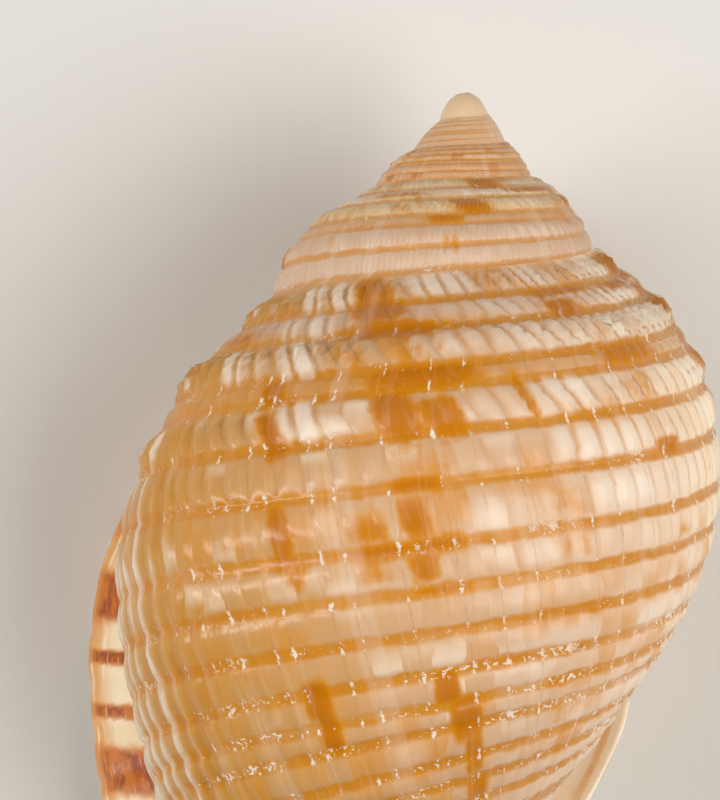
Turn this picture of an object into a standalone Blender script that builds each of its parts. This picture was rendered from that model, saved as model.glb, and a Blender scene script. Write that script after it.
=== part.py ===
"""Scotch bonnet shell, aperture down on z = 0: apex towards +Y, outer lip towards -X, back towards +Z.

The shell coils round an axis along Y.  A place on it is given by its turn (4.0 is the right side of the
last whorl, 4.25 its back, 4.5 its left side) and by how far it lies down the section of the whorl.
"""
import math

import bmesh
import bpy
import numpy as np

MM = 0.001
LENGTH = 75.0                    # apex to siphonal canal, mm
LIP_TURN = 4.6                   # where the outer wall ends and the lip begins
STEPS_PER_TURN = 38
SUTURE_STEP = 0.5                # the two lists below have one value every half turn
SUTURE_RADIUS = (0.0, 0.95, 1.75, 2.15, 3.2, 4.25, 5.35, 7.0, 10.4, 15.1, 20.3)
SUTURE_DEPTH = (0.0, 0.25, 1.6, 2.4, 3.75, 4.95, 6.5, 7.9, 11.9, 17.2, 24.0)
SPIRE_BULGE = (0.14, 0.1, 0.05, 0.05, 0.07, 0.09, 0.11)   # swell of a whorl over its width, each half turn
CORD_END = 17.6                  # the next suture, along the section of turn 4.0
BASE_START = 44.0                # from here to the tip the section is shared out evenly
TIP = 56.0
LEAN_CORDS = (0.0, 12.0, 22.0, 32.0, 44.0, 52.0, 56.0)
LEAN = (0.0, 0.0, 0.018, 0.034, 0.05, 0.085, 0.1)     # how far the edge draws back, in turns
AXIS_HEIGHT = 18.1
MIDDLE_X = -4.1
UPPER_STEPS, LOWER_STEPS = 6, 17
CAVITY_START = 3.75
WALL, WALL_GLAZE = 1.4, -0.5
CAVITY_OUTER = (1.2, 52.0)       # its range along the outer wall and, below, along the whorl before
CAVITY_INNER = (53.5, 18.8)
CAVITY_PAST_LIP = 0.012          # in turns
CAVITY_CLOSING = 0.12            # turns in which its far end widens from a twentieth to the whole
LIP_CORDS = (0.0, 6.0, 10.0, 14.0, 21.0, 32.0, 40.0, 50.0)
LIP_FLARE = (0.6, 1.6, 3.6, 5.4, 7.1, 6.7, 6.0, 2.6)  # how far the lip turns out from the wall, mm
LIP_INNER, LIP_AHEAD, LIP_HALF_THICK = 2.4, 0.6, 2.0
LIP_FROM, LIP_TO = 1.0, 50.5
LIP_TAPER, LIP_THIN_END = 6.0, 0.15                   # cord length of the tapered ends, share left at the end
LIP_LEAST_RADIUS = 6.0                                # keeps the thickness steady close to the axis
NOTCH_MIDDLE, NOTCH_SIZE = (-5.0, 77.5, 1.5), (4.4, 7.0, 6.5)    # of the canal's notch: x, depth, z
SHIELD_DEPTHS = (21.0, 30.0, 38.0, 44.0, 47.5, 51.0, 56.5, 62.0, 67.0, 71.0, 74.0)
SHIELD_LEFT_X = (-12.4, -11.0, -9.0, -7.5, -6.6, -5.8, -4.8, -4.0, -3.4, -3.0, -2.4)
SHIELD_LEFT_Z = (-9.6, -9.4, -10.0, -10.4, -10.4, -10.0, -9.0, -7.5, -6.0, -4.6, -3.2)
SHIELD_RIGHT_X = (2.0, 7.0, 11.5, 14.6, 15.6, 15.2, 12.9, 9.5, 6.0, 3.6, 1.4)
SHIELD_RIGHT_Z = (-17.0, -16.5, -15.0, -14.5, -14.2, -14.0, -13.2, -11.5, -9.2, -7.0, -4.6)
SHIELD_BOW = (0.0, 1.0, 3.2, 5.0, 5.9, 5.9, 5.0, 3.4, 2.2, 1.4, 0.8)
SHIELD_RIM, SHIELD_ROOT = 1.3, 7.0
SHIELD_FREE = (23.0, 42.0)       # depths between which it comes away from the whorl
SHIELD_PROUD, SHIELD_SUNK = 0.45, 0.05                # above the whorl inside, below it at the edge
SHIELD_SLANT, SHIELD_BEVEL = 1.5, 0.5                 # how far its root reaches right, and its rim's bevel
BODY_CORDS = (5.28, 55.0)        # range of the section in which the shield looks for the whorl
GROUND_SIZE = (0.12, 0.12, 0.02)

# Sections of the last whorl, suture to tip: (radius, depth) in mm at three half turns.
SECTIONS = {
    3.5: ((7.0, 7.9), (10.2, 10.0), (12.8, 12.1), (14.2, 14.6), (14.8, 17.2), (15.0, 19.6), (14.6, 23.1),
          (13.2, 27.7), (11.2, 31.3), (8.9, 34.2), (7.0, 36.0), (5.3, 38.6), (4.2, 43.0), (3.8, 52.0),
          (3.8, 62.0), (3.6, 70.0), (2.4, 73.2), (0.0, 74.2)),
    4.0: ((10.4, 11.9), (13.3, 14.2), (15.8, 16.2), (18.3, 19.2), (20.1, 23.4), (21.1, 28.6), (21.1, 32.0),
          (20.0, 37.2), (17.8, 42.0), (15.5, 45.6), (13.8, 48.0), (12.1, 50.4), (9.4, 53.4), (7.0, 56.4),
          (5.3, 60.5), (4.5, 65.0), (4.2, 69.5), (2.8, 73.2), (0.0, 74.2)),
    4.5: ((15.1, 17.2), (16.4, 18.7), (17.7, 20.4), (19.2, 22.0), (20.8, 23.6), (22.7, 26.6), (24.0, 29.6),
          (25.5, 34.2), (26.2, 37.6), (26.2, 40.8), (25.8, 44.5), (25.1, 48.4), (24.0, 52.5), (22.6, 56.8),
          (19.6, 62.6), (15.6, 67.0), (11.2, 70.4), (7.0, 73.0), (3.6, 74.6), (0.0, 75.0)),
}
SECTION_SCALE = {3.5: 0.72, 4.0: 1.0, 4.5: 1.28}


def spline(knots, values, at):
    """A natural cubic spline through the values, read at other places."""
    knots, values, at = np.asarray(knots, float), np.asarray(values, float), np.asarray(at, float)
    step = np.diff(knots)
    count = len(knots)
    matrix, right = np.eye(count), np.zeros(count)
    for i in range(1, count - 1):
        matrix[i, i - 1:i + 2] = step[i - 1], 2 * (step[i - 1] + step[i]), step[i]
        right[i] = 6 * ((values[i + 1] - values[i]) / step[i] - (values[i] - values[i - 1]) / step[i - 1])
    bend = np.linalg.solve(matrix, right)
    i = np.clip(np.searchsorted(knots, at) - 1, 0, count - 2)
    left, gap = at - knots[i], step[i]
    slope = (values[i + 1] - values[i]) / gap - gap * (2 * bend[i] + bend[i + 1]) / 6
    return values[i] + left * (slope + left * (bend[i] / 2 + left * (bend[i + 1] - bend[i]) / (6 * gap)))


def suture(turn):
    """(radius, depth) of the suture at a turn."""
    knots = np.arange(len(SUTURE_RADIUS)) * SUTURE_STEP
    return spline(knots, SUTURE_RADIUS, turn), spline(knots, SUTURE_DEPTH, turn)


def along(points, at):
    """Points of the smooth curve through the given ones, at distances along it, and its whole length."""
    points = np.asarray(points, float)
    chord = np.concatenate([[0.0], np.cumsum(np.hypot(*np.diff(points, axis=0).T))])
    fine = np.linspace(0.0, chord[-1], 600)
    curve = np.stack([spline(chord, points[:, 0], fine), spline(chord, points[:, 1], fine)], axis=1)
    length = np.concatenate([[0.0], np.cumsum(np.hypot(*np.diff(curve, axis=0).T))])
    at = np.clip(at, 0.0, length[-1])
    found = np.stack([np.interp(at, length, curve[:, 0]), np.interp(at, length, curve[:, 1])], axis=-1)
    return found, length[-1]


def key_section(turn, cords):
    """The whole section at a half turn, as (radius, depth) for each cord place."""
    if turn >= 3.5:
        scale = SECTION_SCALE[turn]
        whole = along(SECTIONS[turn], 0.0)[1]
        base = BASE_START * scale
        rest = base + (whole - base) * (cords - BASE_START) / (TIP - BASE_START)
        return along(SECTIONS[turn], np.where(cords < BASE_START, cords * scale, rest))[0]
    top, foot = np.array(suture(turn)), np.array(suture(turn + 1.0))
    share = np.clip(cords / CORD_END, 0.0, 1.0)[:, None]
    chord = foot - top
    outward = np.array([chord[1], -chord[0]])
    swell = SPIRE_BULGE[int(turn / SUTURE_STEP)] * 4 * share * (1 - share) * (1.25 - 0.5 * share)
    upper = top + chord * share + outward * swell
    model = key_section(3.5, cords)
    shrink = foot[0] / SECTIONS[3.5][4][0]
    model_foot = key_section(3.5, np.array([CORD_END]))[0]
    lower = foot + (model - model_foot) * shrink
    return np.where(cords[:, None] <= CORD_END, upper, lower)


def wall(turns, cords):
    """(radius, depth) of the outer surface; turns has one row per place on the coil, or one for each cord."""
    keys = np.arange(0.0, 4.51, SUTURE_STEP)
    sections = np.array([key_section(key, cords) for key in keys])
    turns = np.broadcast_to(np.reshape(turns, (len(turns), -1)), (len(turns), len(cords)))
    out = np.empty((len(turns), len(cords), 2))
    for j in range(len(cords)):
        for k in range(2):
            out[:, j, k] = spline(keys, sections[:, j, k], turns[:, j])
    return out


def lean(turns, cords):
    """The turn of each place, drawn back towards the base as the growing edge of the shell is."""
    return turns - np.interp(cords, LEAN_CORDS, LEAN) * np.clip((turns - 3.2) / 0.4, 0.0, 1.0)


def grown_wall(turns, cords):
    """The wall along growing edges, which lean back: (turns in the room, section)."""
    leaning = lean(np.reshape(turns, (-1, 1)), cords[None, :])
    return leaning, wall(leaning, cords)


def place(turns, radius, depth):
    """Points in metres, with the axis above the ground and the middle of the length at y = 0."""
    angle = 2 * math.pi * turns
    x, z = radius * np.cos(angle), radius * np.sin(angle)
    return np.stack([x - MIDDLE_X, LENGTH / 2 - depth, z + AXIS_HEIGHT], axis=-1) * MM


def mesh_object(name, mesh, collection):
    obj = bpy.data.objects.new(name, mesh)
    collection.objects.link(obj)
    return obj


def closed_mesh(name, build):
    """A mesh from a function that fills a BMesh, with its faces turned outwards and cut into triangles."""
    work = bmesh.new()
    build(work)
    bmesh.ops.remove_doubles(work, verts=work.verts, dist=1e-7)
    bmesh.ops.triangulate(work, faces=work.faces)
    bmesh.ops.recalc_face_normals(work, faces=work.faces)
    mesh = bpy.data.meshes.new(name)
    work.to_mesh(mesh)
    work.free()
    return mesh


def add_face(work, corners):
    """A face through these corners, leaving out a corner that repeats."""
    whole = [v for k, v in enumerate(corners) if v is not corners[k - 1]]
    if len(set(whole)) > 2:
        work.faces.new(whole)


def zip_rows(work, first, second):
    """Triangles between two chains of points that share their two ends."""
    a = b = 0
    while a < len(first) - 1 or b < len(second) - 1:
        go_first = b == len(second) - 1 or (a + 1) / (len(first) - 1) <= (b + 1) / (len(second) - 1)
        if a == len(first) - 1:
            go_first = False
        corners = [first[a], second[b], first[a + 1] if go_first else second[b + 1]]
        add_face(work, corners)
        a, b = (a + 1, b) if go_first else (a, b + 1)


def fill_whorls(work):
    """The whole outside: a strip sewn to itself along the suture, then the last whorl down to the tip."""
    rows = int(LIP_TURN * STEPS_PER_TURN)
    turns = LIP_TURN - np.arange(rows, -1, -1) / STEPS_PER_TURN
    cords = np.concatenate([np.linspace(0.0, CORD_END, UPPER_STEPS + 1),
                            np.linspace(CORD_END, TIP, LOWER_STEPS + 1)[1:]])
    leaning, section = grown_wall(turns, cords)
    points = place(leaning, section[..., 0], section[..., 1])
    last = rows - STEPS_PER_TURN
    tip = work.verts.new(points[-1, -1])
    grid = {}
    for i in range(rows, -1, -1):
        for j in range(len(cords)):
            if j == len(cords) - 1:
                grid[i, j] = tip
            elif i <= last and j == UPPER_STEPS:
                grid[i, j] = grid[i + STEPS_PER_TURN, 0]
            elif i >= last or j < UPPER_STEPS:
                grid[i, j] = work.verts.new(points[i, j])
    for i in range(rows):
        for j in range(len(cords) - 1 if i >= last else UPPER_STEPS):
            add_face(work, [grid[i, j], grid[i + 1, j], grid[i + 1, j + 1], grid[i, j + 1]])
    for i in range(1, STEPS_PER_TURN):
        add_face(work, [grid[0, 0], grid[i, 0], grid[i + 1, 0]])
    add_face(work, [grid[0, j] for j in range(UPPER_STEPS + 1)])
    zip_rows(work, [grid[rows, j] for j in range(len(cords))],
             [grid[last, j] for j in range(UPPER_STEPS, len(cords))])


def fill_loft(work, rings):
    """A closed body through rings of points, with a flat end on the first and the last."""
    made = [[work.verts.new(point) for point in ring] for ring in rings]
    count = len(made[0])
    for one, other in zip(made, made[1:]):
        for k in range(count):
            work.faces.new([one[k], one[(k + 1) % count], other[(k + 1) % count], other[k]])
    work.faces.new(made[0])
    work.faces.new(made[-1])


def shifted(curve, distance):
    """The curve moved sideways: to the axis side where distance is positive."""
    run = np.gradient(curve, axis=0)
    run /= np.linalg.norm(run, axis=1)[:, None]
    side = np.stack([-run[:, 1], run[:, 0]], axis=1)
    return curve + side * np.reshape(distance, (-1, 1))


def fill_cavity(work):
    """The hollow inside the last whorl: from past the lip back round the coil to a rounded end."""
    outer_cords = np.linspace(*CAVITY_OUTER, 15)
    inner_cords = np.linspace(*CAVITY_INNER, 12)
    turns = np.concatenate([np.linspace(CAVITY_START, LIP_TURN, 34), [LIP_TURN + CAVITY_PAST_LIP]])
    leaning, outer = grown_wall(turns, outer_cords)
    inner = wall(turns - 1.0, inner_cords)
    rings = []
    for i, turn in enumerate(turns):
        outside = shifted(outer[i], WALL)
        inside = shifted(inner[i], WALL_GLAZE)
        ring = np.concatenate([outside, inside])
        close = math.sqrt(min(1.0, 0.05 + (turn - CAVITY_START) / CAVITY_CLOSING))
        ring = ring.mean(axis=0) + (ring - ring.mean(axis=0)) * close
        angles = np.concatenate([leaning[i], np.full(len(inner_cords), turn)])
        rings.append(place(angles, ring[:, 0], ring[:, 1]))
    fill_loft(work, rings)


def fill_lip(work):
    """The thick outer lip: an oval bar along the growing edge, turned outwards."""
    cords = np.linspace(LIP_FROM, LIP_TO, 38)
    leaning, edge = grown_wall([LIP_TURN], cords)
    leaning, edge = leaning[0], edge[0]
    flare = np.interp(cords, LIP_CORDS, LIP_FLARE)
    run = np.gradient(edge, axis=0)
    run /= np.linalg.norm(run, axis=1)[:, None]
    out = np.stack([run[:, 1], -run[:, 0]], axis=1)
    rings = []
    around = np.arange(12) * math.tau / 12
    from_end = np.minimum(cords - LIP_FROM + 2.0, LIP_TO + 1.0 - cords)
    taper = np.clip(from_end / LIP_TAPER, LIP_THIN_END, 1.0) ** 0.5
    for k in range(len(cords)):
        half = (flare[k] + LIP_INNER) / 2 * taper[k]
        middle = (flare[k] - LIP_INNER) / 2
        aside = middle + half * np.cos(around)
        ahead = LIP_AHEAD + LIP_HALF_THICK * taper[k] * np.sin(around)
        radius = edge[k, 0] + out[k, 0] * aside
        depth = edge[k, 1] + out[k, 1] * aside
        turn = leaning[k] + ahead / (math.tau * np.maximum(radius, LIP_LEAST_RADIUS))
        rings.append(place(turn, radius, depth))
    fill_loft(work, rings)


def body_radius(turn, depth):
    """Radius of the last whorl at a depth from the apex, on one side of the shell."""
    curve = wall([turn], np.linspace(*BODY_CORDS, 80))[0]
    return np.interp(depth, curve[:, 1], curve[:, 0])


def fill_shield(work):
    """The raised shield beside the mouth: it hugs the whorl at the top and stands free of it below."""
    rings = []
    for depth in np.linspace(SHIELD_DEPTHS[0], SHIELD_DEPTHS[-1], 26):
        left = np.array([np.interp(depth, SHIELD_DEPTHS, line) for line in (SHIELD_LEFT_X, SHIELD_LEFT_Z)])
        right = np.array([np.interp(depth, SHIELD_DEPTHS, line) for line in (SHIELD_RIGHT_X, SHIELD_RIGHT_Z)])
        bow = np.interp(depth, SHIELD_DEPTHS, SHIELD_BOW)
        share = np.linspace(0.0, 1.0, 10)
        face = left + (right - left) * share[:, None]
        face[:, 1] -= bow * 4 * share * (1 - share)
        free = np.clip((depth - SHIELD_FREE[0]) / (SHIELD_FREE[1] - SHIELD_FREE[0]), 0.0, 1.0)
        free = free * free * (3 - 2 * free)
        angle = np.arctan2(face[:, 1], face[:, 0])
        turn = 4.0 + angle / math.tau
        hug = np.array([body_radius(t, depth) for t in turn])
        hug += SHIELD_PROUD * np.sin(share * math.pi) ** 0.5 - SHIELD_SUNK
        hugging = np.stack([np.cos(angle) * hug, np.sin(angle) * hug], axis=1)
        face = hugging * (1 - free) + face * free
        back = face[::-1].copy()
        thick = SHIELD_RIM + (1 - share[::-1]) ** 1.5 * SHIELD_ROOT
        back[:, 1] += thick
        back[:, 0] += (1 - share[::-1]) * SHIELD_SLANT
        back[0, 0] -= SHIELD_BEVEL
        ring = np.concatenate([face, back])
        rings.append(np.stack([ring[:, 0] - MIDDLE_X, np.full(len(ring), LENGTH / 2 - depth),
                               ring[:, 1] + AXIS_HEIGHT], axis=1) * MM)
    fill_loft(work, rings)


def fill_ground(work):
    """A block below the shell, whose top wears the lowest places flat."""
    bmesh.ops.create_cube(work, size=1.0)
    bmesh.ops.scale(work, verts=work.verts, vec=GROUND_SIZE)
    bmesh.ops.translate(work, verts=work.verts, vec=(0.0, 0.0, -GROUND_SIZE[2] / 2))


def fill_notch(work):
    """An egg shape that cuts the siphonal canal's notch out of the base."""
    bmesh.ops.create_uvsphere(work, u_segments=20, v_segments=12, radius=1.0)
    for vert in work.verts:
        x, y, z = (middle + size * at for middle, size, at in zip(NOTCH_MIDDLE, NOTCH_SIZE, vert.co))
        vert.co = ((x - MIDDLE_X) * MM, (LENGTH / 2 - y) * MM, (z + AXIS_HEIGHT) * MM)


def main():
    for obj in list(bpy.data.objects):
        bpy.data.objects.remove(obj)
    shell_parts = bpy.data.collections.new("scotch_bonnet_shell")
    cutters = bpy.data.collections.new("cutters")
    for collection in (shell_parts, cutters):
        bpy.context.scene.collection.children.link(collection)
    cutters.hide_render = True
    shell = mesh_object("shell", closed_mesh("shell", fill_whorls), shell_parts)
    tools = [("cavity", fill_cavity, "DIFFERENCE"), ("lip", fill_lip, "UNION"),
             ("shield", fill_shield, "UNION"), ("notch", fill_notch, "DIFFERENCE"),
             ("ground", fill_ground, "DIFFERENCE")]
    for name, build, operation in tools:
        tool = mesh_object(name, closed_mesh(name, build), cutters)
        tool.display_type = "WIRE"
        tool.hide_render = True
        cut = shell.modifiers.new(name, "BOOLEAN")
        cut.object = tool
        cut.operation = operation
        cut.solver = "EXACT"
    material = bpy.data.materials.new("shell")
    material.use_nodes = True
    surface = material.node_tree.nodes["Principled BSDF"]
    surface.inputs["Base Color"].default_value = (0.75, 0.55, 0.36, 1.0)
    surface.inputs["Roughness"].default_value = 0.35
    surface.inputs["Metallic"].default_value = 0.0
    shell.data.materials.append(material)


main()
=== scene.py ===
# %% [markdown]
# # A scotch bonnet shell
# This lesson models one sea shell: a swollen last whorl, a short spire, a thick lip turned outwards and a
# raised shield beside the mouth.  A measured, plain solid of it is already in the frame, lying mouth down
# with its apex towards +Y.  We load that solid and build the fine surface in the same place.

# %% Load the measured shell
import math

import bmesh
import bpy
import numpy as np
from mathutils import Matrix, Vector


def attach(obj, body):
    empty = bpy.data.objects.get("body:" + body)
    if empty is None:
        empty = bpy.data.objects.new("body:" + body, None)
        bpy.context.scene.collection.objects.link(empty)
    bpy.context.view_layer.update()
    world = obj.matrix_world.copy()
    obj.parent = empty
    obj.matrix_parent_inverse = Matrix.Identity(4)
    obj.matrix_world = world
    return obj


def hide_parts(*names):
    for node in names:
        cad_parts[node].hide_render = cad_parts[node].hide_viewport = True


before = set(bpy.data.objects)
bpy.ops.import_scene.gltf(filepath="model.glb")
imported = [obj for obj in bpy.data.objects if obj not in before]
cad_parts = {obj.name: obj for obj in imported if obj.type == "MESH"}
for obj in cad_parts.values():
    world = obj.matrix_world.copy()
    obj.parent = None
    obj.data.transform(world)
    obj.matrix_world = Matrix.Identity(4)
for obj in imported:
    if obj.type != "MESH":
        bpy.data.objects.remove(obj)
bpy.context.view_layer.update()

# %% [markdown]
# ## The coil
# A snail builds its shell as one strip that winds round an axis and grows as it goes.  It could be sculpted
# from a sphere, but then the grooves would have to be drawn by hand.  It is easier to keep the snail's own
# two coordinates: the *turn* (4.0 is the right side of the last whorl, 4.25 its back, 4.5 its left side)
# and the *cord place*, the distance down the whorl's section from the suture.  Grooves run along one,
# growth lines along the other.  Two short lists give the suture every half turn, and three sections give
# the last whorl.

# %% The suture, and a curve to read it by
MM = 0.001
LENGTH = 75.0          # from the apex to the end of the canal
AXIS_HEIGHT = 18.1     # of the coil's axis over the floor
MIDDLE_X = -4.1        # what lies on the axis is moved by this, so that the shell sits about the middle
LIP_TURN = 4.6         # where growth stopped
HALF_TURNS = np.arange(0.0, 5.01, 0.5)
SUTURE_RADIUS = (0.0, 0.95, 1.75, 2.15, 3.2, 4.25, 5.35, 7.0, 10.4, 15.1, 20.3)
SUTURE_DEPTH = (0.0, 0.25, 1.6, 2.4, 3.75, 4.95, 6.5, 7.9, 11.9, 17.2, 24.0)


def spline(knots, values, at):
    """A natural cubic spline through the values, read at other places."""
    knots, values, at = np.asarray(knots, float), np.asarray(values, float), np.asarray(at, float)
    step = np.diff(knots)
    count = len(knots)
    matrix, right = np.eye(count), np.zeros(count)
    for i in range(1, count - 1):
        matrix[i, i - 1:i + 2] = step[i - 1], 2 * (step[i - 1] + step[i]), step[i]
        right[i] = 6 * ((values[i + 1] - values[i]) / step[i] - (values[i] - values[i - 1]) / step[i - 1])
    bend = np.linalg.solve(matrix, right)
    i = np.clip(np.searchsorted(knots, at) - 1, 0, count - 2)
    left, gap = at - knots[i], step[i]
    slope = (values[i + 1] - values[i]) / gap - gap * (2 * bend[i] + bend[i + 1]) / 6
    return values[i] + left * (slope + left * (bend[i] / 2 + left * (bend[i + 1] - bend[i]) / (6 * gap)))


def suture(turn):
    """(radius, depth) of the suture at a turn, in mm."""
    return spline(HALF_TURNS, SUTURE_RADIUS, turn), spline(HALF_TURNS, SUTURE_DEPTH, turn)


print("suture at the back of the last whorl:", [round(float(v), 1) for v in suture(4.25)], "mm")

# %% The sections of the last whorl
CORD_END = 17.6        # where the next whorl covers this one
BASE_START = 44.0      # from here to the tip the section is shared out evenly
TIP = 56.0
SPIRE_SWELL = (0.14, 0.1, 0.05, 0.05, 0.07, 0.09, 0.11)
SECTION_SCALE = {3.5: 0.72, 4.0: 1.0, 4.5: 1.28}
SECTIONS = {
    3.5: ((7.0, 7.9), (10.2, 10.0), (12.8, 12.1), (14.2, 14.6), (14.8, 17.2), (15.0, 19.6), (14.6, 23.1),
          (13.2, 27.7), (11.2, 31.3), (8.9, 34.2), (7.0, 36.0), (5.3, 38.6), (4.2, 43.0), (3.8, 52.0),
          (3.8, 62.0), (3.6, 70.0), (2.4, 73.2), (0.0, 74.2)),
    4.0: ((10.4, 11.9), (13.3, 14.2), (15.8, 16.2), (18.3, 19.2), (20.1, 23.4), (21.1, 28.6), (21.1, 32.0),
          (20.0, 37.2), (17.8, 42.0), (15.5, 45.6), (13.8, 48.0), (12.1, 50.4), (9.4, 53.4), (7.0, 56.4),
          (5.3, 60.5), (4.5, 65.0), (4.2, 69.5), (2.8, 73.2), (0.0, 74.2)),
    4.5: ((15.1, 17.2), (16.4, 18.7), (17.7, 20.4), (19.2, 22.0), (20.8, 23.6), (22.7, 26.6), (24.0, 29.6),
          (25.5, 34.2), (26.2, 37.6), (26.2, 40.8), (25.8, 44.5), (25.1, 48.4), (24.0, 52.5), (22.6, 56.8),
          (19.6, 62.6), (15.6, 67.0), (11.2, 70.4), (7.0, 73.0), (3.6, 74.6), (0.0, 75.0)),
}
print("whole sections at turns", list(SECTIONS))

# %% A section read by cord place
def along(points, at):
    """Points of the smooth curve through the given ones, at distances along it, and its whole length."""
    points = np.asarray(points, float)
    chord = np.concatenate([[0.0], np.cumsum(np.hypot(*np.diff(points, axis=0).T))])
    fine = np.linspace(0.0, chord[-1], 600)
    curve = np.stack([spline(chord, points[:, 0], fine), spline(chord, points[:, 1], fine)], axis=1)
    length = np.concatenate([[0.0], np.cumsum(np.hypot(*np.diff(curve, axis=0).T))])
    at = np.clip(at, 0.0, length[-1])
    found = np.stack([np.interp(at, length, curve[:, 0]), np.interp(at, length, curve[:, 1])], axis=-1)
    return found, length[-1]


def key_section(turn, cords):
    """The whole section at a half turn, as (radius, depth) for each cord place."""
    if turn >= 3.5:
        scale = SECTION_SCALE[turn]
        whole = along(SECTIONS[turn], 0.0)[1]
        base = BASE_START * scale
        rest = base + (whole - base) * (cords - BASE_START) / (TIP - BASE_START)
        return along(SECTIONS[turn], np.where(cords < BASE_START, cords * scale, rest))[0]
    top, foot = np.array(suture(turn)), np.array(suture(turn + 1.0))
    share = np.clip(cords / CORD_END, 0.0, 1.0)[:, None]
    chord = foot - top
    outward = np.array([chord[1], -chord[0]])
    swell = SPIRE_SWELL[int(turn * 2)] * 4 * share * (1 - share) * (1.25 - 0.5 * share)
    upper = top + chord * share + outward * swell
    model = key_section(3.5, cords)
    model_foot = key_section(3.5, np.array([CORD_END]))[0]
    lower = foot + (model - model_foot) * foot[0] / SECTIONS[3.5][4][0]
    return np.where(cords[:, None] <= CORD_END, upper, lower)


print("foot of the shoulder at turn 4.0:", key_section(4.0, np.array([CORD_END]))[0].round(1), "mm")

# %% The smooth wall
def wall(turns, cords):
    """(radius, depth) of the smooth outer surface, for each place on the coil and each cord place.

    turns holds one value for each row of the result, or one for every cord in it."""
    keys = HALF_TURNS[:-1]
    sections = np.array([key_section(key, cords) for key in keys])
    turns = np.broadcast_to(np.reshape(turns, (len(turns), -1)), (len(turns), len(cords)))
    out = np.empty((len(turns), len(cords), 2))
    for j in range(len(cords)):
        for k in range(2):
            out[:, j, k] = spline(keys, sections[:, j, k], turns[:, j])
    return out


left_side = wall([4.5], np.linspace(0, 50, 99))
print("widest radius on the left side:", round(float(left_side.max(axis=1)[0, 0]), 1), "mm")

# %% From coil coordinates to places in the room
# how many turns the growing edge leans back, read at cord places
LEAN_CORDS = (0.0, 12.0, 22.0, 32.0, 44.0, 52.0, 56.0)
LEAN = (0.0, 0.0, 0.018, 0.034, 0.05, 0.085, 0.1)


def lean(turns, cords):
    """The turn of each place, drawn back towards the base as the growing edge of the shell is."""
    return turns - np.interp(cords, LEAN_CORDS, LEAN) * np.clip((turns - 3.2) / 0.4, 0.0, 1.0)


def grown_wall(turns, cords):
    """The wall along growing edges, which lean back: (turns in the room, section)."""
    leaning = lean(np.reshape(turns, (-1, 1)), cords[None, :])
    return leaning, wall(leaning, cords)


def in_room(x, depth, z):
    """Points in metres from mm beside the axis, below the apex and over the axis."""
    return np.stack([x - MIDDLE_X, LENGTH / 2 - depth, z + AXIS_HEIGHT], axis=-1) * MM


def place(turns, radius, depth):
    """Points in metres at turns of the coil."""
    angle = math.tau * turns
    return in_room(radius * np.cos(angle), depth, radius * np.sin(angle))


def outward_of(section):
    """Unit vectors that point out of the whorl, in (radius, depth)."""
    run = np.gradient(section, axis=-2)
    run /= np.maximum(np.linalg.norm(run, axis=-1, keepdims=True), 1e-9)
    return np.stack([run[..., 1], -run[..., 0]], axis=-1)


print("apex at", [round(float(v), 4) for v in place(0.0, 0.0, 0.0)])

# %% [markdown]
# ## Cords, ribs and growth folds
# The outside is worked in two directions.  Spiral grooves part the surface into flat cords.  Fine ribs
# cross the cords near the shoulder and turn them into rows of little barrels, and beside the lip the
# growing edge left folds.  Bump mapping could fake this, but the barrels show in outline, so they are real
# relief: a height in mm for every place on the coil.  Slow seeded noise keeps the spacing from looking
# machined.

# %% Seeded noise
def wander(x, seed):
    """Smooth noise from -1 to 1 along a line, one wave or so per unit."""
    values = np.random.default_rng(seed).uniform(-1.0, 1.0, 4096)
    cell = np.floor(x).astype(int)
    part = x - cell
    part = part * part * (3 - 2 * part)
    return values[cell % 4096] * (1 - part) + values[(cell + 1) % 4096] * part


def patches(x, y, seed):
    """Smooth noise from -1 to 1 over a plane."""
    values = np.random.default_rng(seed).uniform(-1.0, 1.0, (512, 512))
    i, j = np.floor(x).astype(int), np.floor(y).astype(int)
    u, v = x - i, y - j
    u, v = u * u * (3 - 2 * u), v * v * (3 - 2 * v)
    low = values[i % 512, j % 512] * (1 - u) + values[(i + 1) % 512, j % 512] * u
    high = values[i % 512, (j + 1) % 512] * (1 - u) + values[(i + 1) % 512, (j + 1) % 512] * u
    return low * (1 - v) + high * v


def ease(x, low, high):
    """0 below low, 1 above high, smooth between."""
    part = np.clip((x - low) / (high - low), 0.0, 1.0)
    return part * part * (3 - 2 * part)


print("noise sample:", np.round(wander(np.array([0.5, 1.5, 2.5]), 4), 2))

# %% Grooves and cords
GROOVES = (2.9, 5.8, 9.2, 10.9, 14.3, 17.9, 22.0, 25.15, 28.15, 31.1, 33.5, 35.5, 38.2, 40.3, 42.5, 44.8,
           47.2, 49.6)
LAST_LINE = 52.6       # a faint one round the canal
GROOVE_WIDTH = 0.55
# how round the crown of a cord is (0 flat, 1 a bead) and how high in mm, read at cord places
BEADED_CORDS = (0, 1.5, 4, 7.5, 10, 12.6, 16, 22, 30)
BEADED = (0.6, 0.5, 0.5, 0.8, 0.2, 0.7, 0.25, 0.12, 0.1)
CROWN_CORDS = (0, 1.4, 4, 7.5, 10, 12.6, 16, 22, 50)
CROWN_HEIGHTS = (0, 0.22, 0.26, 0.44, 0.14, 0.42, 0.32, 0.27, 0.22)


def groove_lines(upper_only):
    """Cord places of the suture and the grooves, for a spire whorl or for the last one."""
    if upper_only:
        return np.array([0.0] + [g for g in GROOVES if g < CORD_END - 1] + [CORD_END])
    return np.array([0.0] + list(GROOVES) + [LAST_LINE, TIP])


def groove_distance(cords, upper_only):
    """Distance to the nearest groove and the share of the way across the cord, for each cord place."""
    lines = groove_lines(upper_only)
    k = np.clip(np.searchsorted(lines, cords, side="right") - 1, 0, len(lines) - 2)
    low, high = lines[k], lines[k + 1]
    return np.minimum(cords - low, high - cords), (cords - low) / (high - low)


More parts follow.
